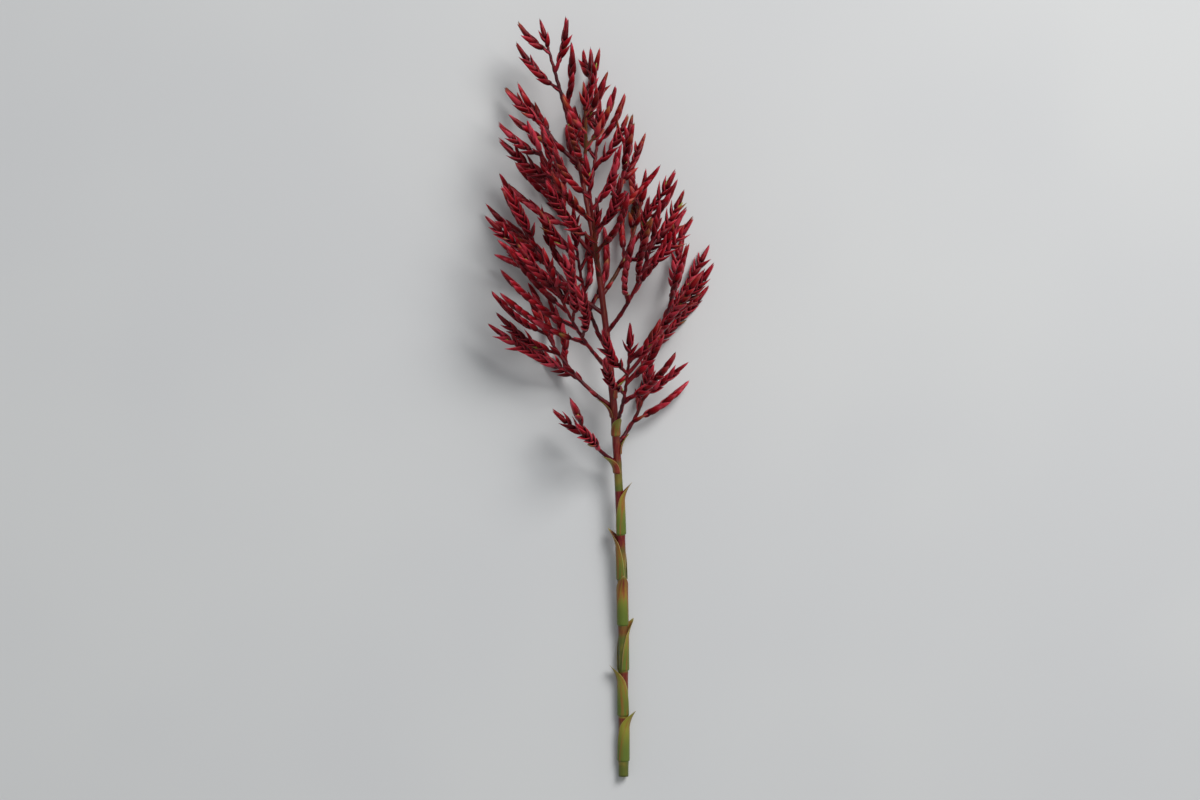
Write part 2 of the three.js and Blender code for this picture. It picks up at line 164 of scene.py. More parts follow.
def smooth_step(low: float, high: float, value: np.ndarray) -> np.ndarray:
    """A soft step that is 0 at low and 1 at high, in either order."""
    t = np.clip((value - low) / (high - low), 0, 1)
    return t * t * (3 - 2 * t)


def unit(vectors: np.ndarray) -> np.ndarray:
    """The vectors, each made one long."""
    return vectors / np.linalg.norm(vectors, axis=-1, keepdims=True)


class Draws:
    """Gives the same run of numbers for the same seed."""

    MULTIPLIER = 16807
    MODULUS = 2147483647

    def __init__(self, seed: int) -> None:
        """Starts the run at a seed."""
        self.state = seed

    def between(self, low: float, high: float) -> float:
        """The next number, from low to high."""
        self.state = (self.state * self.MULTIPLIER) % self.MODULUS
        return mix(low, high, self.state / self.MODULUS)


class Line:
    """A line of points that knows its place, direction and side at each share of its length."""

    def __init__(self, points: np.ndarray, side: np.ndarray) -> None:
        """Keeps the points, one a row, and the direction that the line's side keeps to."""
        self.points = points
        self.side = side

    def at(self, share: float | np.ndarray) -> np.ndarray:
        """Finds a place on the line.

        Args:
            share: how far along the line it is, from 0 to 1, or an array of such shares.

        Returns:
            The point, or one point a row.
        """
        place = np.clip(share, 0, 1) * (len(self.points) - 1)
        low = np.minimum(np.floor(place).astype(int), len(self.points) - 2)
        part = np.asarray(place - low)[..., None]
        return self.points[low] * (1 - part) + self.points[low + 1] * part

    def tangent(self, share: float | np.ndarray) -> np.ndarray:
        """The direction of growth at a share, or at each of an array of shares."""
        half = 0.5 / (len(self.points) - 1)
        return unit(self.at(share + half) - self.at(share - half))

    def side_at(self, share: float | np.ndarray, turn: float = 0) -> np.ndarray:
        """Makes the line's side square to the line and turns it about the line.

        Args:
            share: the place on the line, or an array of places.
            turn: the angle in radians.

        Returns:
            The direction, or one direction a row.
        """
        tangent = self.tangent(share)
        side = unit(self.side - tangent * np.sum(tangent * self.side, axis=-1, keepdims=True))
        return side * math.cos(turn) + np.cross(tangent, side) * math.sin(turn)

    def smooth(self, times: int) -> "Line":
        """Lays a smooth curve through the line's points.

        Args:
            times: how many points stand for each of the old ones.

        Returns:
            The smooth line.
        """
        before, after = 2 * self.points[0] - self.points[1], 2 * self.points[-1] - self.points[-2]
        p = np.vstack((before, self.points, after))
        t = (np.arange(times) / times)[None, :, None]
        a, b, c, d = (p[i : len(p) - 3 + i][:, None, :] for i in range(4))
        bend, turn = 2 * a - 5 * b + 4 * c - d, 3 * b - a - 3 * c + d
        curve = 0.5 * (2 * b + (c - a) * t + bend * t**2 + turn * t**3)
        return Line(np.vstack((curve.reshape(-1, 3), self.points[-1])), self.side)


@dataclass(eq=False)
class Shoot:
    """A branch of the head, or a spike that stands on one.

    Its share is its place on what carries it. It is bare of a spike's bracts up to leafy_from, and bare of
    spikes and forks up to bare, both as shares of its own length.
    """

    branch: int
    share: float
    line: Line
    length: float
    bare: float
    root: float
    leafy_from: float
    azimuth: float = 0
    hand: int = 1
    turn: float = 0
    tone: float = 0
    parent: "Shoot | None" = None
    spikes: list["Shoot"] = field(default_factory=list)

    def half_width(self, way: np.ndarray) -> np.ndarray:
        """Finds the stem's thickness, which swells again into the tight bracts of its tip.

        Args:
            way: how far along the shoot it is measured.

        Returns:
            Half the stem's width.
        """
        share = way / (HABIT.last_spike_at * self.length)
        slim = mix(self.root, HABIT.spike_half_width, np.minimum(1, share))
        return slim + HABIT.point_swell * np.maximum(0, share - 1)


class Growth:
    """Grows the axis and every shoot of the head, and bends the shoots clear of each other."""

    def __init__(self) -> None:
        """Grows the axis, then the shoots on it."""
        h = HABIT
        shares = np.linspace(0, 1, h.axis_steps + 1)
        level = h.stalk_radius + h.seat_gap + h.bract_slack + h.bract_wall - h.pressed
        x = h.axis_lean * shares**h.lean_power
        z = level + h.axis_rise * (1 - np.cos(math.pi * shares)) / 2
        self.axis = Line(np.column_stack((x, h.axis_length * shares, z)), RIGHT)
        self.shoots = self._grow()
        self._bend_clear()

    def axis_radius(self, share: float | np.ndarray) -> float | np.ndarray:
        """The stalk's radius at a share of the axis."""
        return mix(HABIT.stalk_radius, HABIT.axis_top_radius, share**HABIT.taper_power)

    def outward(self, share: float, azimuth: float) -> np.ndarray:
        """Finds the way out from the axis, which never points far down.

        Args:
            share: the place on the axis.
            azimuth: the angle round it in radians: 0 is to the right, and a quarter turn is up.

        Returns:
            The direction.
        """
        side = self.axis.side_at(share)
        lift = np.cross(side, self.axis.tangent(share))
        rise = math.sin(azimuth) * (HABIT.downward_share if math.sin(azimuth) < 0 else 1)
        return unit(side * math.cos(azimuth) + lift * rise)

    def branches(self) -> list[Shoot]:
        """The branches, from the lowest, with the spray that ends the axis as the last."""
        return [shoot for shoot in self.shoots if shoot.parent is None]

    def _shoot_line(
        self, parent: Line, share: float, outward: np.ndarray, length: float, start: float, end: float
    ) -> Line:
        """Draws a shoot that leaves its parent at one angle and turns back towards the parent's direction.

        Args:
            parent: the line that it stands on.
            share: the place on the parent.
            outward: the way out from the parent.
            length: the shoot's length.
            start: the angle at which it leaves, in degrees.
            end: the angle at its tip, in degrees.

        Returns:
            The line.
        """
        steps = HABIT.steps
        left = 1 - (np.arange(steps) + 0.5) / steps
        angles = np.radians(end + (start - end) * left**HABIT.curl)[:, None]
        along = parent.tangent(share)
        moves = (np.cos(angles) * along + np.sin(angles) * outward) * length / steps
        points = np.vstack((np.zeros(3), np.cumsum(moves, axis=0))) + parent.at(share)
        return Line(points, unit(np.cross(along, outward)))

    def _branch_length(self, rank: float) -> float:
        """Finds how long a branch is before its own stray.

        Args:
            rank: 0 for the lowest branch, 1 for the highest.

        Returns:
            The length, which is greatest at the longest rank.
        """
        h = HABIT
        if rank < h.longest_rank:
            return mix(h.short_branch, h.long_branch, math.sin(math.pi / 2 * rank / h.longest_rank))
        return mix(h.long_branch, h.top_branch, (rank - h.longest_rank) / (1 - h.longest_rank))

    def _grow_branch(self, k: int, draws: Draws) -> Shoot:
        """Grows one branch without its spikes.

        Args:
            k: its number from 0, or the number of branches for the spray that ends the axis.
            draws: the run of random numbers.

        Returns:
            The branch.
        """
        h = HABIT
        is_spray = k == h.branches
        rank = min(k / (h.branches - 1), 1)
        share = 1 if is_spray else mix(h.head_start, h.head_end, rank) / h.axis_length
        turn = h.first_azimuth + k * h.golden_angle + draws.between(-h.azimuth_stray, h.azimuth_stray)
        azimuth = math.radians(turn)
        stray = draws.between(1 - h.length_stray, 1 + h.length_stray)
        length = (h.spray_length if is_spray else self._branch_length(rank)) * stray
        spread, bare = (sizes[2] if is_spray else mix(*sizes[:2], rank) for sizes in (h.spreads, h.bares))
        outward = self.outward(share, azimuth)
        line = self._shoot_line(self.axis, share, outward, length, spread, spread * h.spread_kept)
        return Shoot(k, share, line, length, bare, h.branch_root, h.terminal_spike_at, azimuth=azimuth)

    def _grow_spike(self, branch: Shoot, place: float, hand: int, rank: float, draws: Draws) -> Shoot:
        """Grows one spike on a branch.

        Args:
            branch: the branch that carries it.
            place: the share of the branch at which it stands.
            hand: 1 or -1, the side of the branch.
            rank: 0 for the branch's lowest spike, 1 for its last.
            draws: the run of random numbers.

        Returns:
            The spike.
        """
        h = HABIT
        side = branch.line.side_at(place)
        away = np.cross(side, branch.line.tangent(place))
        tilt = math.radians(draws.between(*h.spike_tilt))
        outward = side * hand * math.cos(tilt) + away * math.sin(tilt)
        stray = draws.between(*h.spike_stray)
        length = branch.length * h.spike_share * mix(1, h.last_spike_size, rank) * stray
        spread = draws.between(*h.spike_spread)
        line = self._shoot_line(branch.line, place, outward, length, spread, spread * h.spike_spread_kept)
        turn = math.radians(draws.between(-h.spike_turn, h.spike_turn))
        sizes = (line, length, h.spike_bare, h.spike_half_width, h.spike_bare)
        return Shoot(branch.branch, place, *sizes, hand=hand, turn=turn, parent=branch)

    def _grow(self) -> list[Shoot]:
        """Grows each branch and then the spikes that stand on it.

        Returns:
            The shoots, each after the one that carries it.
        """
        h = HABIT
        draws = Draws(h.seed)
        shoots = []
        for k in range(h.branches + 1):
            branch = self._grow_branch(k, draws)
            fullness = min(max((branch.length - h.short_branch) / (h.long_branch - h.short_branch), 0), 1)
            count = math.floor(mix(*h.spike_counts, fullness) + 0.5)
            for j in range(count):
                rank = j / (count - 1)
                place = mix(branch.bare + h.first_spike_after, h.last_spike_at, rank)
                hand = -1 if (j + k) % 2 else 1
                branch.spikes.append(self._grow_spike(branch, place, hand, rank, draws))
            shoots += [branch, *branch.spikes]
        return shoots

    def _near_pairs(self, now: np.ndarray) -> tuple[np.ndarray, np.ndarray]:
        """Finds the points on different shoots that are near each other.

        Args:
            now: the points, one a row, shoot by shoot.

        Returns:
            The numbers of the first and of the second point of each pair.
        """
        steps, found = HABIT.steps, []
        for start in range(0, len(now), steps):
            apart = ((now[start : start + steps, None] - now[None]) ** 2).sum(2)
            a, b = np.nonzero(apart <= (HABIT.look_reach * HABIT.room_apart) ** 2)
            later = b >= start + steps
            found.append((a[later] + start, b[later]))
        return tuple(np.hstack(found))

    def _bend_clear(self) -> None:
        """Bends the shoots clear of each other, of the axis and of the floor, as the solids are bent.

        Points push each other apart, round by round. A push bends its own shoot and the branch under it,
        more the further out it acts. The room that two points need grows with the way between them along
        the stems, because shoots start from one place.
        """
        h, shoots = HABIT, self.shoots
        stems = [shoot.parent or shoot for shoot in shoots]
        index = {id(shoot): i for i, shoot in enumerate(shoots)}
        per_shoot = [
            (i, index[id(stem)], shoot.parent is not None, shoot.branch, shoot.share, shoot.length,
             stem.length, stem.share * h.axis_length)
            for i, (shoot, stem) in enumerate(zip(shoots, stems))
        ]
        each = [np.repeat(values, h.steps) for values in zip(*per_shoot)]
        of, carrier, is_spike, branch, place, length, stem_length, base = each
        share = np.tile((np.arange(h.steps) + 1) / h.steps, len(shoots))
        weight = (share**h.bend_power)[:, None]
        carried = np.where(is_spike, place**h.bend_power, 0)[:, None]
        own_way = np.where(is_spike, length * share, 0)
        down = length * share + np.where(is_spike, stem_length * place, 0)
        stem_place = np.where(is_spike, place, share)
        rest = np.vstack([shoot.line.points[1:] for shoot in shoots])
        bend = np.zeros((len(shoots), 3))
        rate = h.bend_rate * (2 * h.bend_power + 1) / h.steps
        for turn in range(h.bend_rounds):
            now = rest + bend[of] * weight + bend[carrier] * carried
            if turn % h.rounds_per_look == 0:
                a, b = self._near_pairs(now)
                same = branch[a] == branch[b]
                through_axis = down[a] + down[b] + np.abs(base[a] - base[b])
                along_stem = own_way[a] + own_way[b] + np.abs(stem_place[a] - stem_place[b]) * stem_length[a]
                room = h.room_share * np.where(same, along_stem, through_axis)
                room = np.minimum(np.where(same, h.room_same_branch, h.room_apart), room)
            step = np.zeros_like(now)
            between = now[a] - now[b]
            apart = np.linalg.norm(between, axis=1)
            short = room - apart
            tight = short > 0
            move = between[tight] / apart[tight, None] * (short[tight, None] / 2)
            np.add.at(step, a[tight], move)
            np.add.at(step, b[tight], -move)
            step[:, 2] += np.maximum(0, h.room_below - now[:, 2])
            clear = now - self.axis.at(now[:, 1] / h.axis_length)
            off = np.linalg.norm(clear, axis=1)
            short = np.minimum(h.room_apart, h.room_share * down) - off
            short = np.where((short > 0) & (now[:, 1] <= h.axis_length), short, 0)
            step += clear / off[:, None] * short[:, None]
            push = np.zeros_like(bend)
            np.add.at(push, of, step * weight)
            np.add.at(push, carrier, step * carried)
            bend += push * rate
        for i, shoot in enumerate(shoots):
            first = i * h.steps
            root = shoot.line.points[0] + bend[carrier[first]] * carried[first]
            shoot.line = Line(np.vstack((root, now[first : first + h.steps])), shoot.line.side)


class Place:
    """Takes a point of the growth, in millimetres, to its place in the frame, in metres."""

    def __init__(self) -> None:
        """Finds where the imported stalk's cut end stands."""
        low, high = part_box("stalk")
        self.shift = np.array((high.x - HABIT.stalk_radius * MM, low.y, 0))

    def __call__(self, points: np.ndarray) -> np.ndarray:
        """The points in the frame."""
        return points * MM + self.shift


def linear(code: str) -> tuple[float, float, float, float]:
    """Turns an sRGB hex colour, such as #8c1722, into a linear colour with full alpha."""
    parts = [int(code[i : i + 2], 16) / 255 for i in (1, 3, 5)]
    return (*(p / 12.92 if p <= 0.04045 else ((p + 0.055) / 1.055) ** 2.4 for p in parts), 1)


def add_node(
    tree: bpy.types.NodeTree, kind: str, links: dict[str | int, object] | None = None, **settings: object
) -> bpy.types.Node:
    """Adds a node with its settings and links.

    Args:
        tree: the tree that gets the node.
        kind: the node's Blender type.
        links: what feeds each input, by its name or number: a node, whose first output in use is taken, a
            socket, a hex colour or a plain value.
        settings: the node's properties.

    Returns:
        The node.
    """
    node = tree.nodes.new(kind)
    for name, value in settings.items():
        setattr(node, name, value)
    for key, value in (links or {}).items():
        if isinstance(value, bpy.types.Node):
            value = next(socket for socket in value.outputs if socket.enabled)
        if isinstance(value, bpy.types.NodeSocket):
            tree.links.new(value, node.inputs[key])
        else:
            is_colour = isinstance(value, str) and value.startswith("#")
            node.inputs[key].default_value = linear(value) if is_colour else value
    return node


class Texture(Enum):
    """The textures that a pattern is made of."""

    CLOUDS = "ShaderNodeTexNoise"
    CELLS = "ShaderNodeTexVoronoi"


class Step(Enum):
    """How a coat grows from its start to its full strength."""

    SOFT = "SMOOTHSTEP"
    EVEN = "LINEAR"


@dataclass(frozen=True)
class Grain:
    """A pattern made of a texture.

    Its cells have a size in millimetres along the object's own X, Y and Z. Where it lies over other
    patterns, they take the place of X, Y and Z, and cells are counted on each unit of them.
    """

    name: str
    cells: tuple[float, float, float]
    detail: float = 2
    over: tuple[str, ...] = ()
    texture: Texture = Texture.CLOUDS


@dataclass(frozen=True)
class Coat:
    """A colour laid over those below it, where a pattern runs from a start to its full strength.

    The colour is a hex code or a blend's name. At full it covers by a share, or by a pattern's value.
    """

    colour: str
    pattern: str
    start: float
    full: float
    most: float | str = 1
    step: Step = Step.SOFT


class Finish:
    """What every finish shares: a shader with coats of colour over a ground, each laid on by a pattern.

    Patterns are known by name. Those in kept are numbers kept on the mesh. The pattern named uneven is one
    of them, made uneven by a grain of some depth. A blend is a colour made of a ground and coats of its own.
    Relief is a pattern, a strength and a depth. Dullness is a pattern, its range and its range of roughness.
    """

    name: str
    ground: str
    kept: tuple[str, ...] = ()
    grains: tuple[Grain, ...] = ()
    uneven: tuple[str, str, float] | None = None
    blends: dict[str, tuple[str, tuple[Coat, ...]]] = {}
    coats: tuple[Coat, ...] = ()
    relief: tuple[str, float, float] | None = None
    dullness: tuple[str, float, float, float, float] | None = None
    shader: dict[str, object] = {}

    def patterns(self, tree: bpy.types.NodeTree) -> dict[str, Feed]:
        """Adds the patterns.

        Args:
            tree: the material's tree.

        Returns:
            What gives each pattern, by its name.
        """
        place = add_node(tree, "ShaderNodeTexCoord").outputs["Object"]
        made = {}
        for name in self.kept:
            made[name] = add_node(tree, "ShaderNodeAttribute", attribute_name=name).outputs["Fac"]
        if "across" in made:
            made["edge"] = add_node(tree, "ShaderNodeMath", {0: made["across"]}, operation="ABSOLUTE")
        for grain in self.grains:
            space, scale = place, [1 / (size * MM) for size in grain.cells]
            if grain.over:
                feeds = {i: made[name] for i, name in enumerate(grain.over)}
                space, scale = add_node(tree, "ShaderNodeCombineXYZ", feeds), grain.cells
            space = add_node(tree, "ShaderNodeMapping", {"Vector": space, "Scale": scale})
            links = {"Vector": space, "Scale": 1.0, "Detail": grain.detail}
            made[grain.name] = add_node(tree, grain.texture.value, links)
        if self.uneven:
            number, grain, depth = self.uneven
            stray = add_node(tree, "ShaderNodeMath", {0: made[grain], 1: 0.5}, operation="SUBTRACT")
            links = {0: stray, 1: depth, 2: made[number]}
            made["uneven"] = add_node(tree, "ShaderNodeMath", links, operation="MULTIPLY_ADD")
        return made

    def lay(
        self, tree: bpy.types.NodeTree, made: dict[str, Feed], ground: str, coats: tuple[Coat, ...]
    ) -> Feed:
        """Lays coats over a ground.

        Args:
            tree: the material's tree.
            made: the patterns and blends, by name.
            ground: the hex colour of the ground.
            coats: the coats, from the lowest.

        Returns:
            What gives the colour.
        """
        colour = ground
        for coat in coats:
            reach = (made[coat.pattern], coat.start, coat.full, 0, made.get(coat.most, coat.most))
            links = dict(enumerate(reach))
            share = add_node(tree, "ShaderNodeMapRange", links, interpolation_type=coat.step.value)
            links = {"Factor": share, "A": colour, "B": made.get(coat.colour, coat.colour)}
            colour = add_node(tree, "ShaderNodeMix", links, data_type="RGBA")
        return colour

    def make(self) -> bpy.types.Material:
        """Builds the material.

        Returns:
            The material, ready for a mesh.
        """
        material = bpy.data.materials.new(self.name)
        material.use_nodes = True
        tree = material.node_tree
        tree.nodes.clear()
        made = self.patterns(tree)
        for name, blend in self.blends.items():
            made[name] = self.lay(tree, made, *blend)
        links = {**self.shader, "Base Color": self.lay(tree, made, self.ground, self.coats)}
        if self.dullness:
            pattern, *reach = self.dullness
            reach = dict(enumerate((made[pattern], *reach)))
            links["Roughness"] = add_node(tree, "ShaderNodeMapRange", reach)
        if self.relief:
            pattern, strength, depth = self.relief
            bump = {"Height": made[pattern], "Strength": strength, "Distance": depth * MM}
            links["Normal"] = add_node(tree, "ShaderNodeBump", bump)
        surface = add_node(tree, "ShaderNodeBsdfPrincipled", links)
        add_node(tree, "ShaderNodeOutputMaterial", {"Surface": surface})
        return material


# Living plant skin is a film of wax over cells full of water, with an IOR of 1.4 to 1.45. Light goes a
# little way into thin leaves, about a millimetre.


class WaxyBract(Finish):
    """A fresh, fleshy floral bract, grown with a thin skin of wax over crimson flesh."""

    # The eye sees a soft gloss that is duller in patches, a dark foot that brightens to a pink margin and a
    # browner tip, fine dark veins, and some bracts turned olive. The dark foot is painted shade for the gaps
    # between overlapping bracts. The pink towards the tip is partly the bract's own paler tip and partly
    # painted highlight. Real veins are about 0.3 mm apart. They are drawn 0.55 mm apart, on half a bract 6 mm
    # wide round its curve, because finer ones don't show. A bract's tone is their third place, so nearly
    # every bract has its own.
    name = "waxy_crimson_bract"
    deep, crimson, bright, pink, tip, olive = "#3c0209", "#7c020c", "#a00a1b", "#d24658", "#a64a4e", "#786a26"
    kept = ("along", "across", "tone", "flush")
    grains = (
        Grain("mottle", (5, 5, 5), 4),
        Grain("veins", (6 / 0.55, 2, 31), over=("across", "along", "tone")),
    )
    ground = deep
    coats = (
        # Down its length the bract runs from a dark foot to pink towards the tip. The dark foot is painted
        # shade where the foot sits between overlapping bracts. The pink is partly its own paler tip and
        # partly painted highlight.
        Coat(crimson, "along", 0.0, 0.3, step=Step.EVEN),
        Coat(bright, "along", 0.3, 0.58, step=Step.EVEN),
        Coat(pink, "along", 0.58, 0.86, step=Step.EVEN),
        Coat(tip, "along", 0.86, 1.0, step=Step.EVEN),
        Coat(deep, "tone", 0.62, 0.0, 0.75),
        Coat(pink, "tone", 0.7, 1.0, 0.55),
        Coat(crimson, "mottle", 0.45, 0.72, 0.4),
        Coat(deep, "veins", 0.5, 0.75, 0.35),
        Coat(pink, "edge", 0.72, 1.0, 0.45),
        Coat(olive, "along", 0.25, 0.85, "flush"),
    )
    relief = ("veins", 0.6, 0.22)
    dullness = ("mottle", 0.3, 0.7, 0.27, 0.44)
    shader = {
        "IOR": 1.4,
        "Specular IOR Level": 0.22,
        "Subsurface Weight": 0.08,
        "Subsurface Radius": (1, 0.2, 0.15),
        "Subsurface Scale": 1 * MM,
    }


class ShootSkin(Finish):
    """The young skin of a branch, grown smooth and tinged purplish red by daylight."""

    # The eye sees an even satin gloss on soft red and purple patches, olive in places. Its cells are too
    # small to show, so their relief is drawn 1.2 mm coarse.
    name = "red_stem_skin"
    purple, red, olive = "#4a0b17", "#6f0f17", "#665022"
    kept = ("flush",)
    grains = (Grain("patch", (14, 14, 14), 3), Grain("fine", (1.2, 1.2, 1.2)))
    ground = purple
    coats = (Coat(red, "patch", 0.4, 0.6), Coat(olive, "flush", 0, 1.2, 0.84, Step.EVEN))
    relief = ("fine", 0.2, 0.1)
    shader = {"IOR": 1.4, "Specular IOR Level": 0.35, "Roughness": 0.42}


class StalkSkin(Finish):
    """The tough skin of a full-grown stalk, green where a bract shaded it and red where light reached it."""

    # The eye sees a waxy gloss, lengthwise lines over the fibres about 0.9 mm apart, and green that turns to
    # yellow and red in patches a few centimetres long.
    name = "stalk_skin"
    green, yellow, red, crimson = "#565e20", "#7f6e2a", "#771c15", "#5f0f14"
    kept = ("blush",)
    grains = (Grain("patch", (22, 22, 22), 4), Grain("lines", (0.9, 15, 0.9), 3))
    uneven = ("blush", "patch", 1.0)
    blends = {"reds": (crimson, (Coat(red, "lines", 0.4, 0.65),))}
    ground = green
    coats = (
        Coat(yellow, "patch", 0.4, 0.62),
        Coat("reds", "uneven", 0.25, 0.75),
        Coat(yellow, "lines", 0.52, 0.75, 0.3),
    )
    relief = ("lines", 0.3, 0.15)
    shader = {"IOR": 1.45, "Roughness": 0.4}


class SheathSkin(Finish):
    """A thin leafy bract, grown with parallel veins, its margins and tip dried to paper."""

    # The eye sees green that turns lime, orange and red towards the tip in lengthwise streaks about 4 mm
    # wide, light that glows through it a little, and pale dry margins. Half a sheath on the stalk is about
    # 16 mm round its curve. Real veins are about 0.5 mm apart. They are drawn 0.9 mm apart because finer
    # ones don't show.
    name = "leafy_sheath"
    green, lime, orange, red, straw = "#5b6a20", "#8e8729", "#935524", "#7c1f18", "#ab9762"
    kept = ("along", "across", "blush")
    grains = (
        Grain("patch", (18, 18, 18), 4),
        Grain("streak", (4, 1, 1), 3, over=("across", "along", "patch")),
        Grain("veins", (18.2, 2.24, 1), over=("across", "along")),
    )
    uneven = ("blush", "streak", 2.2)
    ground = green
    coats = (
        Coat(lime, "along", 0.15, 0.75),
        Coat(orange, "uneven", 0.1, 0.55, 0.75),
        Coat(red, "uneven", 0.4, 1.1, 0.95),
        Coat(green, "veins", 0.5, 0.72, 0.35),
        Coat(straw, "edge", 0.93, 1.0, 0.8),
        Coat(straw, "along", 0.93, 1.0),
    )
    relief = ("veins", 0.5, 0.2)
    shader = {
        "IOR": 1.45,
        "Roughness": 0.46,
        "Subsurface Weight": 0.08,
        "Subsurface Radius": (0.6, 1, 0.3),
        "Subsurface Scale": 1 * MM,
    }


class CutPith(Finish):
    """The pith of the stalk, cut across with a knife and still moist."""

    # The eye sees pale, dull pith dotted with the darker ends of fibres, about 0.8 mm apart.
    name = "cut_pith"
    pith, fibre = "#cbbf8c", "#8c7f45"
    grains = (Grain("fibres", (0.8, 0.8, 0.8), 0, texture=Texture.CELLS),)
    ground = pith
    coats = (Coat(fibre, "fibres", 0.32, 0.18),)
    relief = ("fibres", 0.5, 0.2)
    shader = {"IOR": 1.4, "Roughness": 0.55}


class WitheredPetal(Finish):
    """A thin petal that has dried to straw, and a bud that is still fresh at its foot."""

    # The eye sees dull, papery straw that fades unevenly from yellow-green, and light that glows through.
    name = "withered_petal"
    bud, straw = "#8d8c35", "#d2c280"
    kept = ("along",)
    grains = (Grain("fading", (2, 2, 2), 3),)
    uneven = ("along", "fading", 1.0)
    ground = bud
    coats = (Coat(straw, "uneven", 0.3, 0.9),)
    shader = {"IOR": 1.4, "Roughness": 0.6, "Subsurface Weight": 0.1, "Subsurface Scale": 1 * MM}


class PaintedBoard(Finish):
    """A board with a rolled coat of matt white paint."""

    # The eye sees a plain pale floor, clouded so slightly that it looks even.
    name = "painted_board"
    paint, shade = "#d3d4d4", "#d0d1d2"
    grains = (Grain("cloud", (400, 400, 400)),)
    ground = paint
    coats = (Coat(shade, "cloud", 0.35, 0.65),)
    shader = {"Roughness": 0.75}


def make_object(
    name: str, points: np.ndarray, faces: Faces, edges: list[tuple[int, int]] | None = None,
    home: bpy.types.Collection | None = None, **numbers: np.ndarray,
) -> bpy.types.Object:
    """Makes a smooth mesh object.

    Args:
        name: the object's name.
        points: the vertices, one a row.
        faces: the vertices of each face.
        edges: the vertices of each loose edge.
        home: the collection that holds it, if that isn't the scene's.
        numbers: what is kept at each vertex, by name: a number, a whole number, a yes or no, or a vector.

    Returns:
        The object.
    """
    mesh = bpy.data.meshes.new(name)
    mesh.from_pydata(points.tolist(), edges or [], faces)
    for key, values in numbers.items():
        values = np.asarray(values)
        kind = {"b": "BOOLEAN", "i": "INT", "f": "FLOAT"}[values.dtype.kind]
        part = "value"
        if values.ndim == 2:
            kind, part = "FLOAT_VECTOR", "vector"
        mesh.attributes.new(key, kind, "POINT").data.foreach_set(part, values.ravel())
    mesh.shade_smooth()
    thing = bpy.data.objects.new(name, mesh)
    (home or bpy.context.scene.collection).objects.link(thing)
    return thing


def tube_faces(rings: int, sides: int, foot: int | None = None, tip: int | None = None) -> Faces:
    """The faces of a closed tube whose vertices run ring by ring.

    Args:
        rings: how many rings it has.
        sides: how many vertices are in a ring.
        foot: the vertex to which its first ring closes. A strip across the ring closes it if none is given.
        tip: the same for its last ring.

    Returns:
        The faces, which look out where the rings turn to the left as seen from the tip.
    """
    faces = []
    for r in range(rings - 1):
        for i in range(sides):
            a, b = r * sides + i, r * sides + (i + 1) % sides
            faces.append((a, b, b + sides, a + sides))
    last = (rings - 1) * sides
    for ring, point in ((range(sides)[::-1], foot), (range(last, last + sides), tip)):
        if point is None:
            strip = range(sides // 2 - 1)
            faces += [(ring[i], ring[i + 1], ring[-i - 2], ring[-i - 1]) for i in strip]
        else:
            pairs = [(ring[i - 1], ring[i]) for i in range(sides)]
            faces += [(*pair, point) for pair in pairs if point not in pair]
    return faces


class Kind(Enum):
    """What is set along a shoot. A kind's number is its place among the templates."""

    FLORAL = 0
    OPEN = 1
    SLENDER = 2
    CLOSED = 3
    BUD = 4
    PETAL = 5


@dataclass(frozen=True)
class BoatShape:
    """A boat-shaped bract of length 1 and half width 1, whose base wraps the stem at the origin.

    Its rows run from the base to the tip. Each has a half width, the angle that it wraps and how far its
    keel stands out. A last keel is the tip's.
    """

    widths: tuple[float, ...]
    wraps: tuple[float, ...]
    keels: tuple[float, ...]
    crease: float = 0.09
    crease_narrowing: float = 2.2
    heights: tuple[float, ...] = (-0.06, 0.04, 0.18, 0.36, 0.56, 0.76, 0.9)
    columns: int = 6
    wall: float = 0.2

    def shell(self) -> Shell:
        """Makes the bract as one closed shell, each row with a vertex inside it.

        Returns:
            Its points, its faces and what is kept at each point.
        """
        across = np.linspace(-1, 1, self.columns + 1)
        parts = []
        for height, width, wrap, keel in zip(self.heights, self.widths, self.wraps, self.keels):
            angle = math.radians(wrap)
            radius = width / math.sin(min(angle, math.pi / 2))
            crease = self.crease * width * np.clip(1 - self.crease_narrowing * np.abs(across), 0, 1)
            x = keel - radius * (1 - np.cos(across * angle)) + crease
            y = radius * np.sin(across * angle)
            parts += [np.column_stack((x, y, np.full_like(x, height))), (keel - self.wall, 0, height)]
        rows, sides = len(self.heights), self.columns + 2
        points = np.vstack((*parts, (self.keels[-1], 0, 1)))
        faces = tube_faces(rows, sides, foot=sides - 1, tip=rows * sides)
        # The inner faces at the left margin start a corner later, so they fold as those at the right do.
        for i, face in enumerate(faces):
            if len(face) == 4 and face[0] % sides == sides - 1:
                faces[i] = (*face[1:], face[0])
        along = np.append(np.repeat(self.heights, sides), 1.0)
        inside = np.append(np.tile(np.append(across, 0.0), rows), 0.0)
        return points, faces, {"along": along, "across": inside}


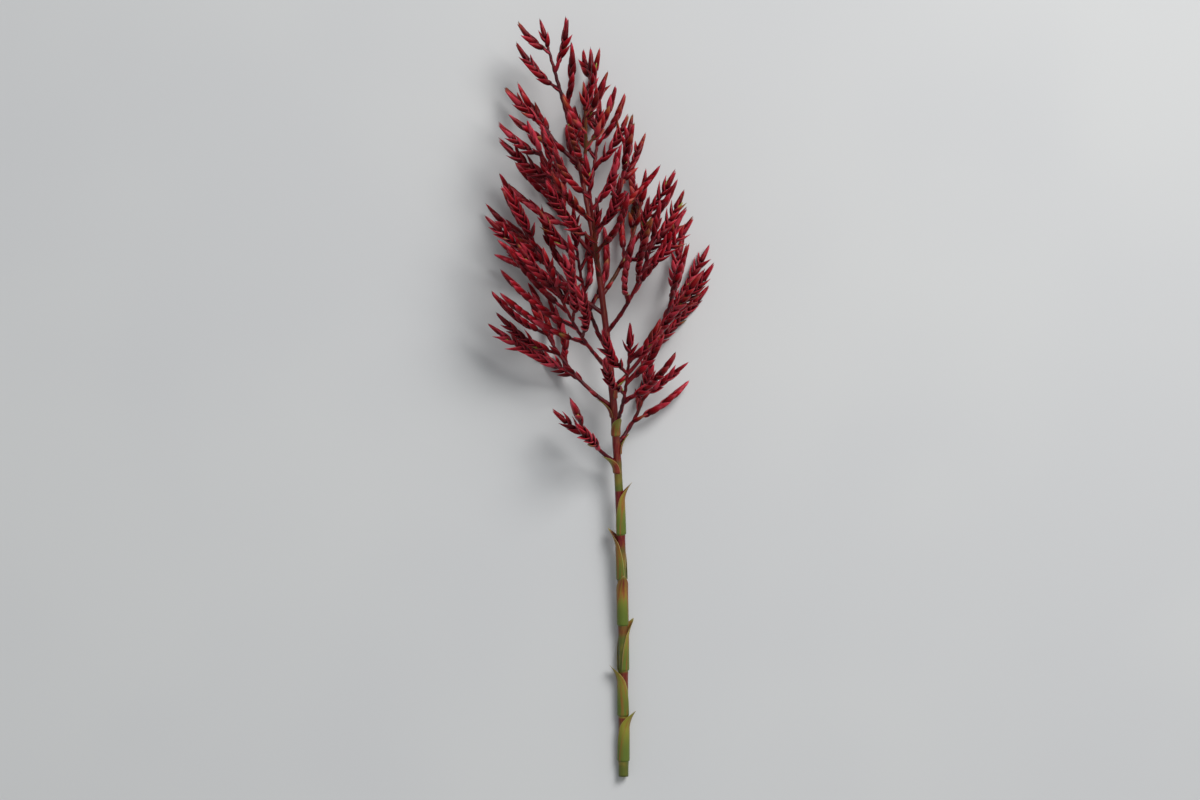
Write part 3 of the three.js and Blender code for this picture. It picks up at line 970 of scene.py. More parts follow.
@dataclass(frozen=True)
class PetalShape:
    """A thin petal of length 1 that curls and twists out of a bract's mouth."""

    rows: int = 11
    width: float = 0.36
    foot_width: float = 0.3
    widens: tuple[float, float] = (0.2, 0.6)
    tip_narrowing: float = 0.8
    tip_power: float = 6
    wall: float = 0.05
    reach: float = 1.15
    root: tuple[float, float, float] = (0.2, 0, 0.06)
    outward: float = 0.9
    curl: float = 1.7
    curl_from: float = 0.62
    curl_out: float = 0.5
    sway: float = 0.2
    sways: float = 3
    twist: float = 1.8
    twist_depth: float = 0.5

    def shell(self) -> Shell:
        """Makes the petal as one closed strip.

        Returns:
            Its points, its faces and what is kept at each point.
        """
        u = np.linspace(0, 1, self.rows)
        bend = self.curl * smooth_step(self.curl_from, 1, u)
        out = self.outward * u * np.cos(bend) + self.curl_out * np.sin(bend)
        step = np.column_stack((out, self.sway * np.sin(self.sways * bend), np.cos(bend)))
        path = np.cumsum(step, axis=0) * self.reach / self.rows + np.array(self.root)
        half = self.width * mix(self.foot_width, 1, smooth_step(*self.widens, u))
        half *= 1 - self.tip_narrowing * u**self.tip_power
        turn = self.twist * u
        flat = np.column_stack((np.sin(turn) * self.twist_depth, np.cos(turn), 0 * u)) * half[:, None]
        thick = np.column_stack((np.cos(turn), -np.sin(turn), 0 * u)) * self.wall
        corners = (path - flat - thick, path + flat - thick, path + flat + thick, path - flat + thick)
        sides = len(corners)
        points = np.stack(corners, axis=1).reshape(-1, 3)
        along = np.repeat(u, sides)
        return points, tube_faces(self.rows, sides), {"along": along, "across": 0 * along}


@dataclass(frozen=True)
class BudShape:
    """A small plump bud of length 1 in a bract's mouth, six-sided and pointed."""

    sides: int = 6
    heights: tuple[float, ...] = (0.04, 0.32, 0.58, 0.82)
    radii: tuple[float, ...] = (0.2, 0.48, 0.56, 0.34)
    lean: float = 0.8
    root: float = 0.3
    tip: float = 1.4
    freshness: float = 0.5
    tip_freshness: float = 0.6

    def shell(self) -> Shell:
        """Makes the bud as one closed shell.

        Returns:
            Its points, its faces and what is kept at each point.
        """
        heights, radii = (np.repeat(values, self.sides) for values in (self.heights, self.radii))
        angles = np.tile(2 * math.pi * np.arange(self.sides) / self.sides, len(self.heights))
        x = self.lean * (self.root + heights) + radii * np.cos(angles)
        rings = np.column_stack((x, radii * np.sin(angles), heights))
        points = np.vstack((rings, (self.lean * self.tip, 0, 1)))
        faces = tube_faces(len(self.heights), self.sides, tip=len(rings))
        along = np.append(heights * self.freshness, self.tip_freshness)
        return points, faces, {"along": along, "across": 0 * along}


SHAPES = {
    Kind.FLORAL: BoatShape(
        widths=(0.44, 0.8, 1.0, 1.0, 0.82, 0.5, 0.22),
        wraps=(150, 128, 114, 100, 84, 68, 56),
        keels=(0.42, 0.8, 1.15, 1.4, 1.52, 1.58, 1.62, 1.66),
    ),
    Kind.OPEN: BoatShape(
        widths=(0.44, 0.8, 1.02, 1.05, 0.88, 0.54, 0.24),
        wraps=(150, 126, 110, 92, 76, 62, 54),
        keels=(0.42, 0.84, 1.34, 1.78, 2.14, 2.46, 2.68, 2.9),
    ),
    Kind.SLENDER: BoatShape(
        widths=(0.56, 0.82, 0.92, 0.88, 0.68, 0.4, 0.18),
        wraps=(150, 130, 120, 110, 98, 82, 66),
        keels=(0.54, 0.86, 1.0, 1.07, 1.09, 1.08, 1.05, 1.02),
    ),
    Kind.CLOSED: BoatShape(
        widths=(0.5, 0.94, 0.92, 0.83, 0.71, 0.51, 0.25),
        wraps=(150, 128, 118, 106, 88, 62, 34),
        keels=(0.5, 0.94, 0.92, 0.83, 0.71, 0.57, 0.43, 0.29),
        crease=0.12,
    ),
    Kind.BUD: BudShape(),
    Kind.PETAL: PetalShape(),
}


@dataclass(frozen=True)
class SprayInputs:
    """The named inputs of the tree that grows stems and bracts, with their sizes in metres and radians."""

    bracts: bpy.types.Collection
    bract_finish: bpy.types.Material
    stem_finish: bpy.types.Material
    petal_finish: bpy.types.Material
    bract_length: float = 14.5 * MM
    bract_half_width: float = 2.9 * MM
    spread_stray: float = math.radians(5)
    turn_stray: float = math.radians(9)
    size_stray: float = 0.1
    stem_sides: int = 8
    seed: int = 31


@dataclass(frozen=True)
class SprayPoint:
    """What the tree reads at a point of a stem's wire, which has a girth, or at the root of a bract.

    A bract grows in one direction, faces another and leans out. Its width and its length are shares of the
    tree's inputs. Tight bracts aren't loose, so nothing in them strays. Finishes read tone and flush.
    """

    place: np.ndarray
    is_bract: bool = False
    girth: float = 0.0
    kind: int = 0
    growing: np.ndarray | tuple[float, float, float] = (0, 0, 1)
    facing: np.ndarray | tuple[float, float, float] = (1, 0, 0)
    lean: float = 0.0
    wide: float = 0.0
    long: float = 0.0
    tone: float = 0.0
    flush: float = 0.0
    loose: float = 0.0


class SprayTree:
    """The Geometry Nodes tree that turns a wire of stems and a cloud of points into a leafy spray."""

    SOCKETS = {
        bpy.types.Collection: "NodeSocketCollection",
        bpy.types.Material: "NodeSocketMaterial",
        float: "NodeSocketFloat",
        int: "NodeSocketInt",
    }
    READS = {
        "is_bract": "BOOLEAN",
        "kind": "INT",
        "growing": "FLOAT_VECTOR",
        "facing": "FLOAT_VECTOR",
        **dict.fromkeys(("girth", "lean", "wide", "long", "loose"), "FLOAT"),
    }

    def __init__(self) -> None:
        """Builds the tree: stems are swept, bracts are set on their points, and each gets its finish."""
        self.tree = tree = bpy.data.node_groups.new("leafy_spray", "GeometryNodeTree")
        face = tree.interface
        face.new_socket("Geometry", in_out="INPUT", socket_type="NodeSocketGeometry")
        face.new_socket("Geometry", in_out="OUTPUT", socket_type="NodeSocketGeometry")
        self.sockets = {}
        for size in fields(SprayInputs):
            title = size.name.replace("_", " ").title()
            socket = face.new_socket(title, in_out="INPUT", socket_type=self.SOCKETS[size.type])
            self.sockets[size.name] = socket.identifier
        self.given = given = add_node(tree, "NodeGroupInput").outputs
        self.read = read = {
            name: add_node(tree, "GeometryNodeInputNamedAttribute", {"Name": name}, data_type=kind)
            for name, kind in self.READS.items()
        }
        links = {"Geometry": given["Geometry"], "Selection": read["is_bract"]}
        parts = add_node(tree, "GeometryNodeSeparateGeometry", links, domain="POINT").outputs
        both = add_node(tree, "GeometryNodeJoinGeometry", {0: self._stems(parts["Inverted"])})
        # The same input of a join takes a second link.
        tree.links.new(self._bracts(parts["Selection"]).outputs[0], both.inputs[0])
        dressed = add_node(tree, "GeometryNodeRealizeInstances", {"Geometry": both})
        links = {2: read["kind"], 3: Kind.BUD.value}
        in_flower = add_node(tree, "FunctionNodeCompare", links, data_type="INT", operation="GREATER_EQUAL")
        for chosen, finish in ((True, "Stem"), (read["is_bract"], "Bract"), (in_flower, "Petal")):
            links = {"Geometry": dressed, "Selection": chosen, "Material": given[f"{finish} Finish"]}
            dressed = add_node(tree, "GeometryNodeSetMaterial", links)
        add_node(tree, "NodeGroupOutput", {"Geometry": dressed})

    def _stems(self, wire: bpy.types.NodeSocket) -> bpy.types.Node:
        """Sweeps a round section along the wire, as thick as its points say.

        Args:
            wire: the wire of the stems.

        Returns:
            The node that gives the stems.
        """
        curve = add_node(self.tree, "GeometryNodeMeshToCurve", {"Mesh": wire})
        links = {"Resolution": self.given["Stem Sides"], "Radius": 1.0}
        ring = add_node(self.tree, "GeometryNodeCurvePrimitiveCircle", links)
        links = {"Curve": curve, "Profile Curve": ring, "Scale": self.read["girth"], "Fill Caps": True}
        swept = add_node(self.tree, "GeometryNodeCurveToMesh", links)
        return add_node(self.tree, "GeometryNodeSetShadeSmooth", {"Geometry": swept})

    def _strays(self) -> list[bpy.types.Node]:
        """Adds the random numbers of a bract, each with a seed of its own.

        Returns:
            The nodes that give its strays in lean, in tilt to the side, in turn and in size.
        """
        tree, strays = self.tree, []
        for i, name in enumerate(("Spread Stray", "Spread Stray", "Turn Stray", "Size Stray")):
            links = {0: self.given[name], 1: self.read["loose"]}
            reach = add_node(tree, "ShaderNodeMath", links, operation="MULTIPLY")
            least = add_node(tree, "ShaderNodeMath", {0: reach, 1: -1.0}, operation="MULTIPLY")
            seed = add_node(tree, "ShaderNodeMath", {0: self.given["Seed"], 1: i + 1.0}, operation="ADD")
            links = {"Min": least, "Max": reach, "Seed": seed}
            strays.append(add_node(tree, "FunctionNodeRandomValue", links, data_type="FLOAT"))
        return strays

    def _bracts(self, points: bpy.types.NodeSocket) -> bpy.types.Node:
        """Sets a bract on each point, turned to its stem.

        Args:
            points: the roots of the bracts.

        Returns:
            The node that gives the bracts.
        """
        tree, given, read = self.tree, self.given, self.read
        links = {"Collection": given["Bracts"], "Separate Children": True, "Reset Children": True}
        shapes = add_node(tree, "GeometryNodeCollectionInfo", links)
        lean_stray, tilt, turn, size_stray = self._strays()
        links = {"Primary Axis": read["growing"], "Secondary Axis": read["facing"]}
        facing = add_node(tree, "FunctionNodeAxesToRotation", links, primary_axis="Z", secondary_axis="X")
        lean = add_node(tree, "ShaderNodeMath", {0: read["lean"], 1: lean_stray}, operation="ADD")
        turn = add_node(tree, "ShaderNodeCombineXYZ", {0: tilt, 1: lean, 2: turn})
        links = {"Rotation": facing, "Rotate By": turn}
        turned = add_node(tree, "FunctionNodeRotateRotation", links, rotation_space="LOCAL")
        size = add_node(tree, "ShaderNodeMath", {0: size_stray, 1: 1.0}, operation="ADD")
        sizes = []
        for name, share in (("Bract Half Width", "wide"), ("Bract Length", "long")):
            whole = add_node(tree, "ShaderNodeMath", {0: given[name], 1: read[share]}, operation="MULTIPLY")
            sizes.append(add_node(tree, "ShaderNodeMath", {0: whole, 1: size}, operation="MULTIPLY"))
        scale = add_node(tree, "ShaderNodeCombineXYZ", {0: sizes[0], 1: sizes[0], 2: sizes[1]})
        links = {"Points": points, "Instance": shapes, "Pick Instance": True, "Instance Index": read["kind"]}
        links |= {"Rotation": turned, "Scale": scale}
        return add_node(tree, "GeometryNodeInstanceOnPoints", links)

    def apply(self, thing: bpy.types.Object, inputs: SprayInputs) -> None:
        """Runs the tree on an object and leaves it as a plain mesh.

        Args:
            thing: the object that holds the wire and the points.
            inputs: the value of each named input.
        """
        modifier = thing.modifiers.new("spray", "NODES")
        modifier.node_group = self.tree
        for name, socket in self.sockets.items():
            modifier[socket] = getattr(inputs, name)
        graph = bpy.context.evaluated_depsgraph_get()
        mesh = bpy.data.meshes.new_from_object(thing.evaluated_get(graph), depsgraph=graph)
        thing.modifiers.clear()
        old, thing.data = thing.data, mesh
        bpy.data.meshes.remove(old)
        mesh.name = thing.name


def stand_for(piece: bpy.types.Object, node: str) -> bpy.types.Object:
    """Presses flat what would sink into the floor, and lets a piece stand for its solid.

    Args:
        piece: the piece.
        node: the solid's node.

    Returns:
        The finished piece.
    """
    points = np.empty(len(piece.data.vertices) * 3)
    piece.data.vertices.foreach_get("co", points)
    z = points[2::3]
    level = FLOOR_GAP + FLOOR_GIVE
    z[:] = np.where(z < level, FLOOR_GAP + FLOOR_GIVE * np.exp((z - level) / FLOOR_GIVE), z)
    piece.data.vertices.foreach_set("co", points)
    piece.data.update()
    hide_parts(node)
    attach(piece, BODY)
    return piece


@dataclass
class Spray:
    """One branch of the head with its spikes, or the spray that ends the axis, as stems and bracts."""

    branch: Shoot
    place: Place
    draws: Draws
    inputs: SprayInputs
    # The stems, which zigzag from joint to joint and end in a point.
    internode: float = 5.1
    ring_step: float = 2.6
    fewest_rings: int = 12
    smoothing: int = 4
    roundness: float = 1.12
    root_swell: float = 0.3
    root_length: float = 4
    zigzag: float = 0.45
    zigzag_from: float = 8
    point: float = 25
    stem_taper: float = 0.85
    stem_end: float = 0.02
    stem_tone: float = 0.5
    # The bracts on the bare stretch, in the forks, along the spike and tight round its point.
    bare_pitch: float = 16
    bare_pitch_stray: tuple[float, float] = (0.8, 1.1)
    bare_stop: float = 4
    slender_length: float = 11.5
    slender_fit: float = 1.3
    fork_depth: float = 2
    fork_fit: float = 1.25
    fork_room: float = 0.6
    fork_lengths: tuple[float, float] = (15, 19)
    fork_lean: float = 14
    open_share: float = 0.24
    floral_lengths: tuple[float, float] = (16.5, 14.5)
    floral_half_widths: tuple[float, float] = (3.35, 3)
    last_internode: float = 0.84
    point_half_width: float = 2.5
    point_power: float = 0.5
    point_layer: float = 0.02
    point_reach: float = 0.88
    last_bract_before: float = 6.5
    # What is in a bract's mouth, with its length and width as shares of the bract's.
    bud_share: float = 0.05
    bud_size: tuple[float, float] = (0.85, 0.8)
    petal_share: float = 0.06
    petal_length: float = 0.95
    # Colour. The waves are directions and phases, and two of them times each other plus the third make
    # soft olive patches some 60 mm wide.
    tones: tuple[float, float] = (0.08, 0.92)
    tone_apart: float = 0.22
    patch: float = 60
    waves: tuple[tuple[float, ...], ...] = ((3.1, 1.7, 0, 0.4), (0, 2.3, -2.9, 1.1), (3.7, 0, 2.7, 0))
    flush_slope: float = 0.5
    flush_from: float = 0.3
    flush_most: float = 1.2
    olive_above: float = 0.97
    olive_least: float = 0.4
    points: list[SprayPoint] = field(default_factory=list)
    edges: list[tuple[int, int]] = field(default_factory=list)

    def node(self) -> str:
        """The name of the solid that this spray stands for."""
        number = self.branch.branch
        return "top_spray" if number == HABIT.branches else f"branch_{number + 1:02d}"

    def flush_at(self, point: np.ndarray) -> float:
        """Finds how olive the plant is near a point.

        Args:
            point: the place, in millimetres.

        Returns:
            The flush, from 0 to its most.
        """
        a, b, c = (math.sin(point @ wave[:3] / self.patch + wave[3]) for wave in self.waves)
        patch = self.flush_slope * (a * b + c) - self.flush_from
        return self.flush_most * min(1.0, max(0.0, patch))

    def add_stem(self, shoot: Shoot) -> None:
        """Adds the wire of a shoot's own stem, slightly bent at each joint and drawn to a point.

        Args:
            shoot: the shoot.
        """
        ways = np.linspace(0, shoot.length, max(self.fewest_rings, round(shoot.length / self.ring_step)))
        shares, left = ways / shoot.length, shoot.length - ways
        bend = np.abs((ways / self.internode) % 2 - 1) * 2 - 1
        offset = self.zigzag * bend * smooth_step(0, self.zigzag_from, ways)
        offset *= smooth_step(0, self.point, left)
        line = shoot.line.smooth(self.smoothing)
        path = line.at(shares) + line.side_at(shares, shoot.turn) * offset[:, None]
        swell = 1 + self.root_swell * np.exp(-ways / self.root_length)
        taper = np.clip(left / self.point, self.stem_end, 1) ** self.stem_taper
        girths = self.roundness * shoot.half_width(ways) * swell * taper * MM
        first = len(self.points)
        for point, girth in zip(path, girths):
            flush = self.flush_at(point)
            self.points.append(SprayPoint(point, girth=girth, tone=self.stem_tone, flush=flush))
        self.edges += [(i, i + 1) for i in range(first, len(self.points) - 1)]

    def add_bract(
        self, shoot: Shoot, way: float, edge: int, kind: Kind, long: float, wide: float, lean: float = 0
    ) -> None:
        """Adds the point of one bract, and at times of a bud or a withered petal in its mouth.

        Args:
            shoot: the shoot that it grows on.
            way: how far along the shoot it grows.
            edge: 1 or -1, the side of the shoot.
            kind: its shape.
            long: its length in millimetres.
            wide: half its width in millimetres.
            lean: how far it leans out besides what its shape does, in degrees.
        """
        share = way / shoot.length
        place = shoot.line.at(share)
        flush = self.flush_at(place) * self.draws.between(0, 1)
        if self.draws.between(0, 1) > self.olive_above:
            flush = max(flush, self.draws.between(self.olive_least, 1))
        bract = SprayPoint(
            place,
            is_bract=True,
            kind=kind.value,
            growing=shoot.line.tangent(share),
            facing=edge * shoot.line.side_at(share, shoot.turn),
            lean=math.radians(lean),
            wide=wide * MM / self.inputs.bract_half_width,
            long=long * MM / self.inputs.bract_length,
            tone=min(1, max(0, self.draws.between(*self.tones) + shoot.tone)),
            flush=min(1, flush),
            loose=0.0 if kind is Kind.CLOSED else 1.0,
        )
        self.points.append(bract)
        if kind in (Kind.SLENDER, Kind.CLOSED):
            return
        luck = self.draws.between(0, 1)
        if luck < self.bud_share:
            length, width = self.bud_size[0] * bract.long, self.bud_size[1] * bract.wide
            self.points.append(replace(bract, kind=Kind.BUD.value, long=length, wide=width))
        elif luck < self.bud_share + self.petal_share:
            self.points.append(replace(bract, kind=Kind.PETAL.value, long=self.petal_length * bract.long))

    def add_stem_bracts(self, shoot: Shoot) -> None:
        """Adds the bracts below a shoot's own spike: tight ones on its bare stretch, open ones in its forks.

        Args:
            shoot: the shoot.
        """
        way, edge = self.bare_pitch / 2, -1
        while way < shoot.bare * shoot.length - self.bare_stop:
            wide = self.slender_fit * float(shoot.half_width(np.array(way)))
            self.add_bract(shoot, way, edge, Kind.SLENDER, self.slender_length, wide)
            way, edge = way + self.bare_pitch * self.draws.between(*self.bare_pitch_stray), -edge
        for spike in shoot.spikes:
            way = spike.share * shoot.length - self.fork_depth
            wide = self.fork_fit * float(shoot.half_width(np.array(way))) + self.fork_room
            long = self.draws.between(*self.fork_lengths)
            self.add_bract(shoot, way, spike.hand, Kind.OPEN, long, wide, self.fork_lean)

    def add_spike_bracts(self, shoot: Shoot) -> None:
        """Adds the bracts of a shoot's spike in two rows, smaller towards the tip and tight round its point.

        Args:
            shoot: the shoot.
        """
        way, edge = shoot.leafy_from * shoot.length, 1
        while way <= shoot.length - self.last_bract_before:
            left = shoot.length - way
            age = (way / shoot.length) ** 2
            if left < self.point:
                kind, long = Kind.CLOSED, left * self.point_reach
                wide = self.point_half_width * (left / self.point) ** self.point_power
                wide *= 1 + self.point_layer * left
            else:
                kind = Kind.OPEN if self.draws.between(0, 1) < self.open_share else Kind.FLORAL
                long, wide = mix(*self.floral_lengths, age), mix(*self.floral_half_widths, age)
            self.add_bract(shoot, way, edge, kind, long, wide)
            way, edge = way + self.internode * mix(1, self.last_internode, age), -edge

    def build(self, tree: SprayTree) -> bpy.types.Object:
        """Makes the spray and lets it stand for its solid.

        Args:
            tree: the Geometry Nodes tree.

        Returns:
            The finished piece.
        """
        for shoot in (self.branch, *self.branch.spikes):
            shoot.tone = self.draws.between(-self.tone_apart, self.tone_apart)
            self.add_stem(shoot)
            self.add_stem_bracts(shoot)
            self.add_spike_bracts(shoot)
        names = [size.name for size in fields(SprayPoint)]
        kept = {name: np.array([getattr(point, name) for point in self.points]) for name in names}
        places = self.place(kept.pop("place"))
        piece = make_object(f"{self.node()}_spikes", places, [], self.edges, **kept)
        tree.apply(piece, replace(self.inputs, seed=self.inputs.seed + self.branch.branch))
        return stand_for(piece, self.node())


@dataclass
class Head:
    """The branched head: a spray for each branch, and one that ends the axis."""

    growth: Growth
    place: Place
    draws: Draws

    def build(self) -> list[bpy.types.Object]:
        """Makes the sprays from templates, which it then removes.

        Returns:
            The finished pieces, from the lowest branch.
        """
        home = bpy.data.collections.new("bract_templates")
        for kind, shape in SHAPES.items():
            points, faces, kept = shape.shell()
            make_object(f"bract_{kind.value}_{kind.name.lower()}", points, faces, home=home, **kept)
        inputs = SprayInputs(home, WaxyBract().make(), ShootSkin().make(), WitheredPetal().make())
        tree = SprayTree()
        sprays = [Spray(branch, self.place, self.draws, inputs) for branch in self.growth.branches()]
        pieces = [spray.build(tree) for spray in sprays]
        for thing in list(home.objects):
            bpy.data.objects.remove(thing)
        bpy.data.collections.remove(home)
        return pieces


@dataclass
class Stalk:
    """The stalk and the head's axis as one smooth tapered stem, with a fresh cut at its foot."""

    growth: Growth
    place: Place
    sides: int = 40
    ring_step: float = 2.5
    node_swell: float = 0.28
    node_width: float = 4
    rib_depth: float = 0.05
    ribs: int = 11
    cut_rings: int = 5
    cut_hollow: float = 0.5
    tip_roundness: float = 0.6
    # How the skin reddens, between joints and into the head.
    head_fade: float = 70
    reddening: tuple[float, float] = (0.2, 0.95)
    least_red: float = 0.3
    red_gain: float = 0.14
    red_swing: float = 0.25
    swing_step: float = 2.4
    swing_phase: float = 0.6

    def joints(self) -> list[float]:
        """How far up the axis each bract or branch leaves it."""
        low = [HABIT.stalk_bract_first + i * HABIT.stalk_bract_spacing for i in range(HABIT.stalk_bracts)]
        return low + [b.share * HABIT.axis_length for b in self.growth.branches()[:-1]]

    def blush(self, ways: np.ndarray) -> np.ndarray:
        """Finds how red the skin is: by turns red and green down the stalk, and red in the head.

        Args:
            ways: how far up the axis it is measured.

        Returns:
            The blush at each way, from 0 to 1.
        """
        head = smooth_step(HABIT.head_start - self.head_fade, HABIT.head_start + self.head_fade, ways)
        segment = (ways - HABIT.stalk_bract_first) / HABIT.stalk_bract_spacing
        swing = self.red_swing * np.sin(self.swing_step * np.floor(segment) + self.swing_phase)
        strength = np.clip(self.least_red + self.red_gain * segment + swing, 0, 1)
        return np.clip(np.maximum(head, smooth_step(*self.reddening, segment % 1) * strength), 0, 1)

    def build(self) -> list[bpy.types.Object]:
        """Makes the stalk, with rings from the middle of its cut out to its skin and up to its tip.

        Returns:
            The finished piece.
        """
        axis = self.growth.axis
        ways = np.arange(0, HABIT.axis_length + self.ring_step / 2, self.ring_step)
        shares = ways / HABIT.axis_length
        swell = sum(np.exp(-(((ways - joint) / self.node_width) ** 2)) for joint in self.joints())
        radii = self.growth.axis_radius(shares) + self.node_swell * np.minimum(swell, 1)
        angles = np.linspace(0, 2 * math.pi, self.sides, endpoint=False)
        reach = radii[:, None] + self.rib_depth * np.cos(self.ribs * angles)
        side = axis.side_at(shares)
        lift = np.cross(axis.tangent(shares), side)
        skin = side[:, None] * (reach * np.cos(angles))[..., None]
        skin = skin + lift[:, None] * (reach * np.sin(angles))[..., None] + axis.at(shares)[:, None]
        foot, top = axis.at(0.0), axis.at(1.0)
        inward = (np.arange(1, self.cut_rings) / self.cut_rings)[:, None]
        cut = foot + (skin[0] - foot) * inward[..., None]
        cut[..., 1] += self.cut_hollow * (1 - inward**2)
        rings = np.concatenate((cut, skin)).reshape(-1, 3)
        ends = (foot + (0, self.cut_hollow, 0), top + axis.tangent(1.0) * radii[-1] * self.tip_roundness)
        count, cut_count = len(rings) // self.sides, len(cut)
        faces = tube_faces(count, self.sides, foot=len(rings), tip=len(rings) + 1)
        blush = np.concatenate((np.zeros(cut_count), self.blush(ways)))
        blush = np.append(np.repeat(blush, self.sides), (0, 1))
        piece = make_object("stalk_skin", self.place(np.vstack((rings, ends))), faces, blush=blush)
        for finish in (StalkSkin(), CutPith()):
            piece.data.materials.append(finish.make())
        first_fan = (count - 1) * self.sides
        cut_faces = (*range(cut_count * self.sides), *range(first_fan, first_fan + self.sides))
        for number in cut_faces:
            piece.data.polygons[number].material_index = 1
        return [stand_for(piece, "stalk")]


@dataclass(frozen=True)
class Clasp:
    """The sizes of a bract that clasps the axis with its sheath and then leaves it, narrowing to a point.

    It reddens from one share of its length to another, and fades again from fades_from to its tip.
    """

    slot: str
    length: float
    sheath: float
    wrap: float
    angle: float
    reddens: tuple[float, float]
    fades_from: float
    rows: int
    columns: int
    tip_wrap: float = 5
    taper: float = 2.2
    curve: float = 0.7
    margin_wall: float = 0.18
    margin_power: float = 3
    ripple: float = 0.35
    ripple_power: float = 4
    ripples: float = 9
    joint: float = 2.2
    joint_rows: int = 6
    sunk: float = 0.5
    least_blush: float = 0.8
    side_blush: float = 0.5
    blush_turn: float = 2.1

    def build(
        self, name: str, growth: Growth, place: Place, start: float, azimuth: float, blush: float,
        skin: bpy.types.Material,
    ) -> bpy.types.Object:
        """Makes one bract and lets it stand for its solid.

        Args:
            name: the solid's name.
            growth: the axis that it clasps.
            place: what takes its points to the frame.
            start: how far up the axis it starts.
            azimuth: the side to which it leaves, in radians.
            blush: how red it is.
            skin: its finish.

        Returns:
            The finished piece.
        """
        axis, whole = growth.axis, HABIT.axis_length
        outward = growth.outward(start / whole, azimuth)
        slack = HABIT.seat_gap + HABIT.bract_slack
        radius = float(growth.axis_radius(start / whole)) + slack
        across = np.linspace(-1, 1, self.columns + 1)
        bulge = np.linspace(0, math.pi / 2, self.joint_rows)
        low = (1 - np.cos(bulge)) * self.joint / self.length
        shares = np.concatenate((low, np.linspace(low[-1], 1, self.rows)[1:]))
        lifts = np.concatenate((np.sin(bulge), np.ones(self.rows - 1)))
        rings = []
        for share, before, lift in zip(shares, np.append(0, shares), lifts):
            on_axis = (start + self.length * share) / whole
            free = max(0.0, (share - self.sheath) / (1 - self.sheath))
            lean = math.radians(self.angle * free**self.curve)
            heading = axis.tangent(on_axis) * math.cos(lean) + outward * math.sin(lean)
            centre = centre + heading * self.length * (share - before) if free else axis.at(on_axis)
            side = unit(np.cross(heading, outward))
            out = unit(np.cross(side, heading))
            angles = (across * math.radians(mix(self.wrap, self.tip_wrap, share**self.taper)))[:, None]
            rays = out * np.cos(angles) + side * np.sin(angles)
            margin = np.abs(across)
            wall = mix(HABIT.bract_wall, self.margin_wall, margin**self.margin_power)
            wall = mix(wall, self.margin_wall, share**self.margin_power)
            wave = self.ripple * margin**self.ripple_power * math.sin(self.ripples * share + azimuth)
            edge = radius + HABIT.bract_wall + wave * share * (1 - share)
            edge = mix(radius - slack - self.sunk, edge, lift)[:, None]
            rings += [centre + rays * edge, (centre + rays * (edge - wall[:, None]))[::-1]]
        sides = 2 * len(across)
        along = np.repeat(shares, sides)
        round_it = np.tile(np.append(across, across[::-1]), len(shares))
        red = blush * smooth_step(*self.reddens, along) * (1 - smooth_step(self.fades_from, 1, along))
        red *= self.least_blush + self.side_blush * round_it * math.sin(self.blush_turn * start)
        piece = make_object(
            f"{name}_leaf", place(np.vstack(rings)), tube_faces(len(shares), sides), along=along,
            across=round_it, blush=np.clip(red, 0, 1),
        )
        piece.data.materials.append(skin)
        return stand_for(piece, name)


@dataclass
class Foliage:
    """The leafy bracts: a row that clasps the stalk, and one under each of the lowest branches."""

    growth: Growth
    place: Place
    draws: Draws
    stalk_bract: Clasp = Clasp(
        slot="stalk_bract", length=62, sheath=0.6, wrap=144, angle=38, reddens=(0.2, 0.7), fades_from=0.86,
        rows=46, columns=32,
    )
    branch_bract: Clasp = Clasp(
        slot="branch_bract", length=32, sheath=0.14, wrap=86, angle=62, reddens=(0.75, 0.2), fades_from=0.9,
        rows=30, columns=20,
    )
    stalk_blush: tuple[float, float] = (0.25, 1)
    stalk_blush_stray: tuple[float, float] = (0.8, 1.1)
    branch_blush: tuple[float, float] = (0.6, 1)

    def build(self) -> list[bpy.types.Object]:
        """Makes the bracts, redder the higher they stand.

        Returns:
            The finished pieces, from the lowest.
        """
        skin, pieces = SheathSkin().make(), []
        for i in range(HABIT.stalk_bracts):
            start = HABIT.stalk_bract_first + i * HABIT.stalk_bract_spacing
            azimuth = math.radians(HABIT.stalk_bract_azimuth + i * HABIT.golden_angle)
            stray = self.draws.between(*self.stalk_blush_stray)
            blush = mix(*self.stalk_blush, i / (HABIT.stalk_bracts - 1)) * stray
            place = (self.growth, self.place, start, azimuth, blush, skin)
            pieces.append(self.stalk_bract.build(f"stalk_bract_{i + 1}", *place))
        for i, branch in enumerate(self.growth.branches()[: HABIT.branch_bracts]):
            start = branch.share * HABIT.axis_length - HABIT.branch_bract_below
            blush = self.draws.between(*self.branch_blush)
            place = (self.growth, self.place, start, branch.azimuth, blush, skin)
            pieces.append(self.branch_bract.build(f"branch_bract_{i + 1}", *place))
        return pieces


class Source(Enum):
    """The kinds of light: a square softbox, sized in metres, and distant daylight, wide by an angle."""

    SOFTBOX = "AREA"
    DAYLIGHT = "SUN"


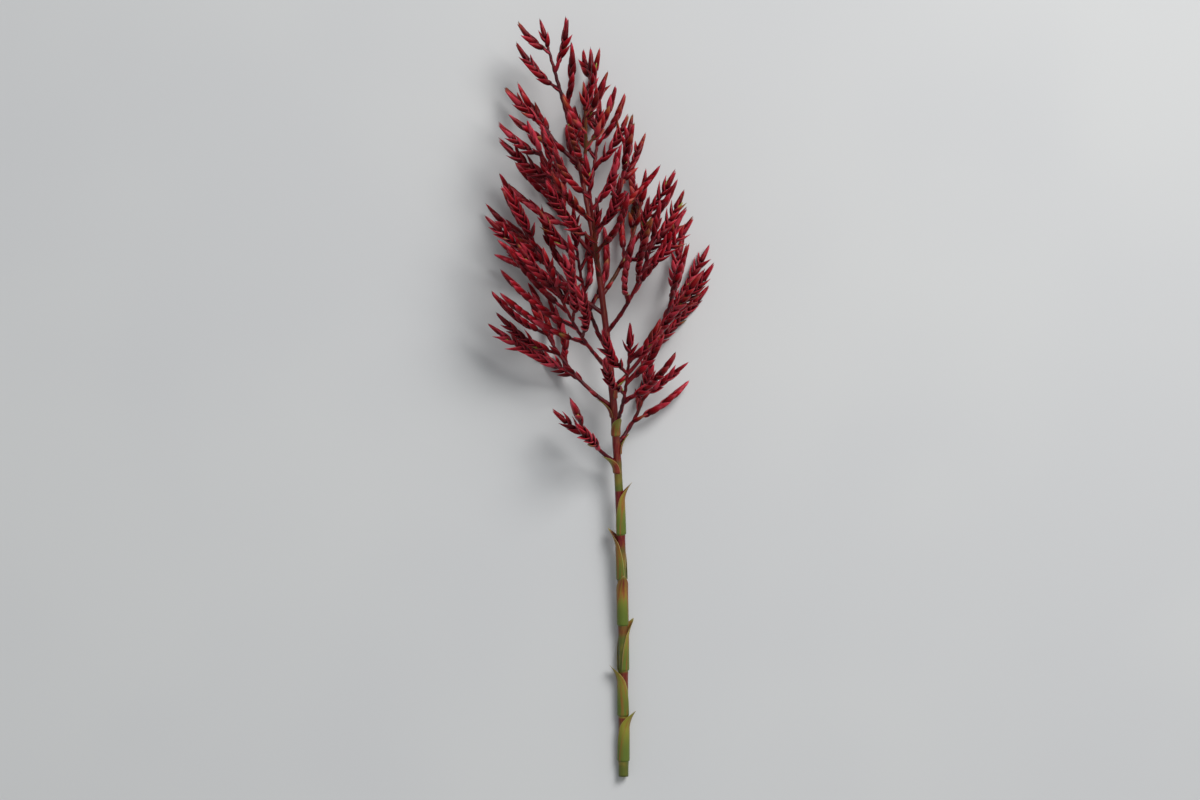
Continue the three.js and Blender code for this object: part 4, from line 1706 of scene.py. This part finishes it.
@dataclass(frozen=True)
class Lamp:
    """One light, in metres and watts or daylight strength, that faces the middle of the flower."""

    name: str
    source: Source
    place: tuple[float, float, float]
    width: float
    energy: float
    tint: str = "#ffffff"

    def build(self) -> None:
        """Adds the light."""
        light = bpy.data.lights.new(self.name, self.source.value)
        light.energy = self.energy
        light.color = linear(self.tint)[:3]
        if self.source is Source.DAYLIGHT:
            light.angle = math.radians(self.width)
        else:
            light.shape = "SQUARE"
            light.size = self.width
        thing = bpy.data.objects.new(self.name, light)
        thing.location = self.place
        thing.rotation_euler = (-Vector(self.place)).to_track_quat("-Z", "Y").to_euler()
        bpy.context.scene.collection.objects.link(thing)


@dataclass
class Studio:
    """The pale floor, the soft lights and the camera, which looks straight down with the tips at the top."""

    floor_size: float = 40
    camera_height: float = 2.4
    frame_height: float = 0.865
    sensor_height: float = 24
    sensor_width: float = 36
    lamps: tuple[Lamp, ...] = (
        Lamp("daylight", Source.DAYLIGHT, place=(0.9, 1.5, 1.9), width=26, energy=1.3),
        Lamp("key", Source.SOFTBOX, place=(1.2, 1.3, 1.7), width=1.0, energy=24, tint="#fffdfb"),
        Lamp("top", Source.SOFTBOX, place=(0.1, 0.3, 2.9), width=1.2, energy=4),
    )
    air: str = "#e9edf0"
    air_strength: float = 0.33

    def build(self) -> None:
        """Builds the studio around the flower."""
        half = self.floor_size / 2
        corners = np.array(((-half, -half, 0), (half, -half, 0), (half, half, 0), (-half, half, 0)))
        floor = make_object("floor", corners, [(0, 1, 2, 3)])
        floor.data.materials.append(PaintedBoard().make())
        for lamp in self.lamps:
            lamp.build()
        world = bpy.data.worlds.new("soft_air")
        world.use_nodes = True
        air = world.node_tree.nodes["Background"]
        air.inputs["Color"].default_value = linear(self.air)
        air.inputs["Strength"].default_value = self.air_strength
        lens = bpy.data.cameras.new("camera")
        lens.sensor_width = self.sensor_width
        lens.lens = self.sensor_height * self.camera_height / self.frame_height
        camera = bpy.data.objects.new("camera", lens)
        camera.location = (0, 0, self.camera_height)
        scene = bpy.context.scene
        scene.collection.objects.link(camera)
        scene.camera = camera
        scene.world = world
        scene.view_settings.view_transform = "Standard"


def main() -> None:
    """Builds the studio and the flower, piece by piece, and writes how large the flower is."""
    logging.basicConfig(level=logging.INFO, format="%(message)s")
    Studio().build()
    growth, place, draws = Growth(), Place(), Draws(HABIT.seed)
    log.info("grew %d shoots", len(growth.shoots))
    for part in (Stalk(growth, place), Foliage(growth, place, draws), Head(growth, place, draws)):
        for piece in part.build():
            log.info("%s: %d faces", piece.name, len(piece.data.polygons))


if __name__ == "__main__":
    main()
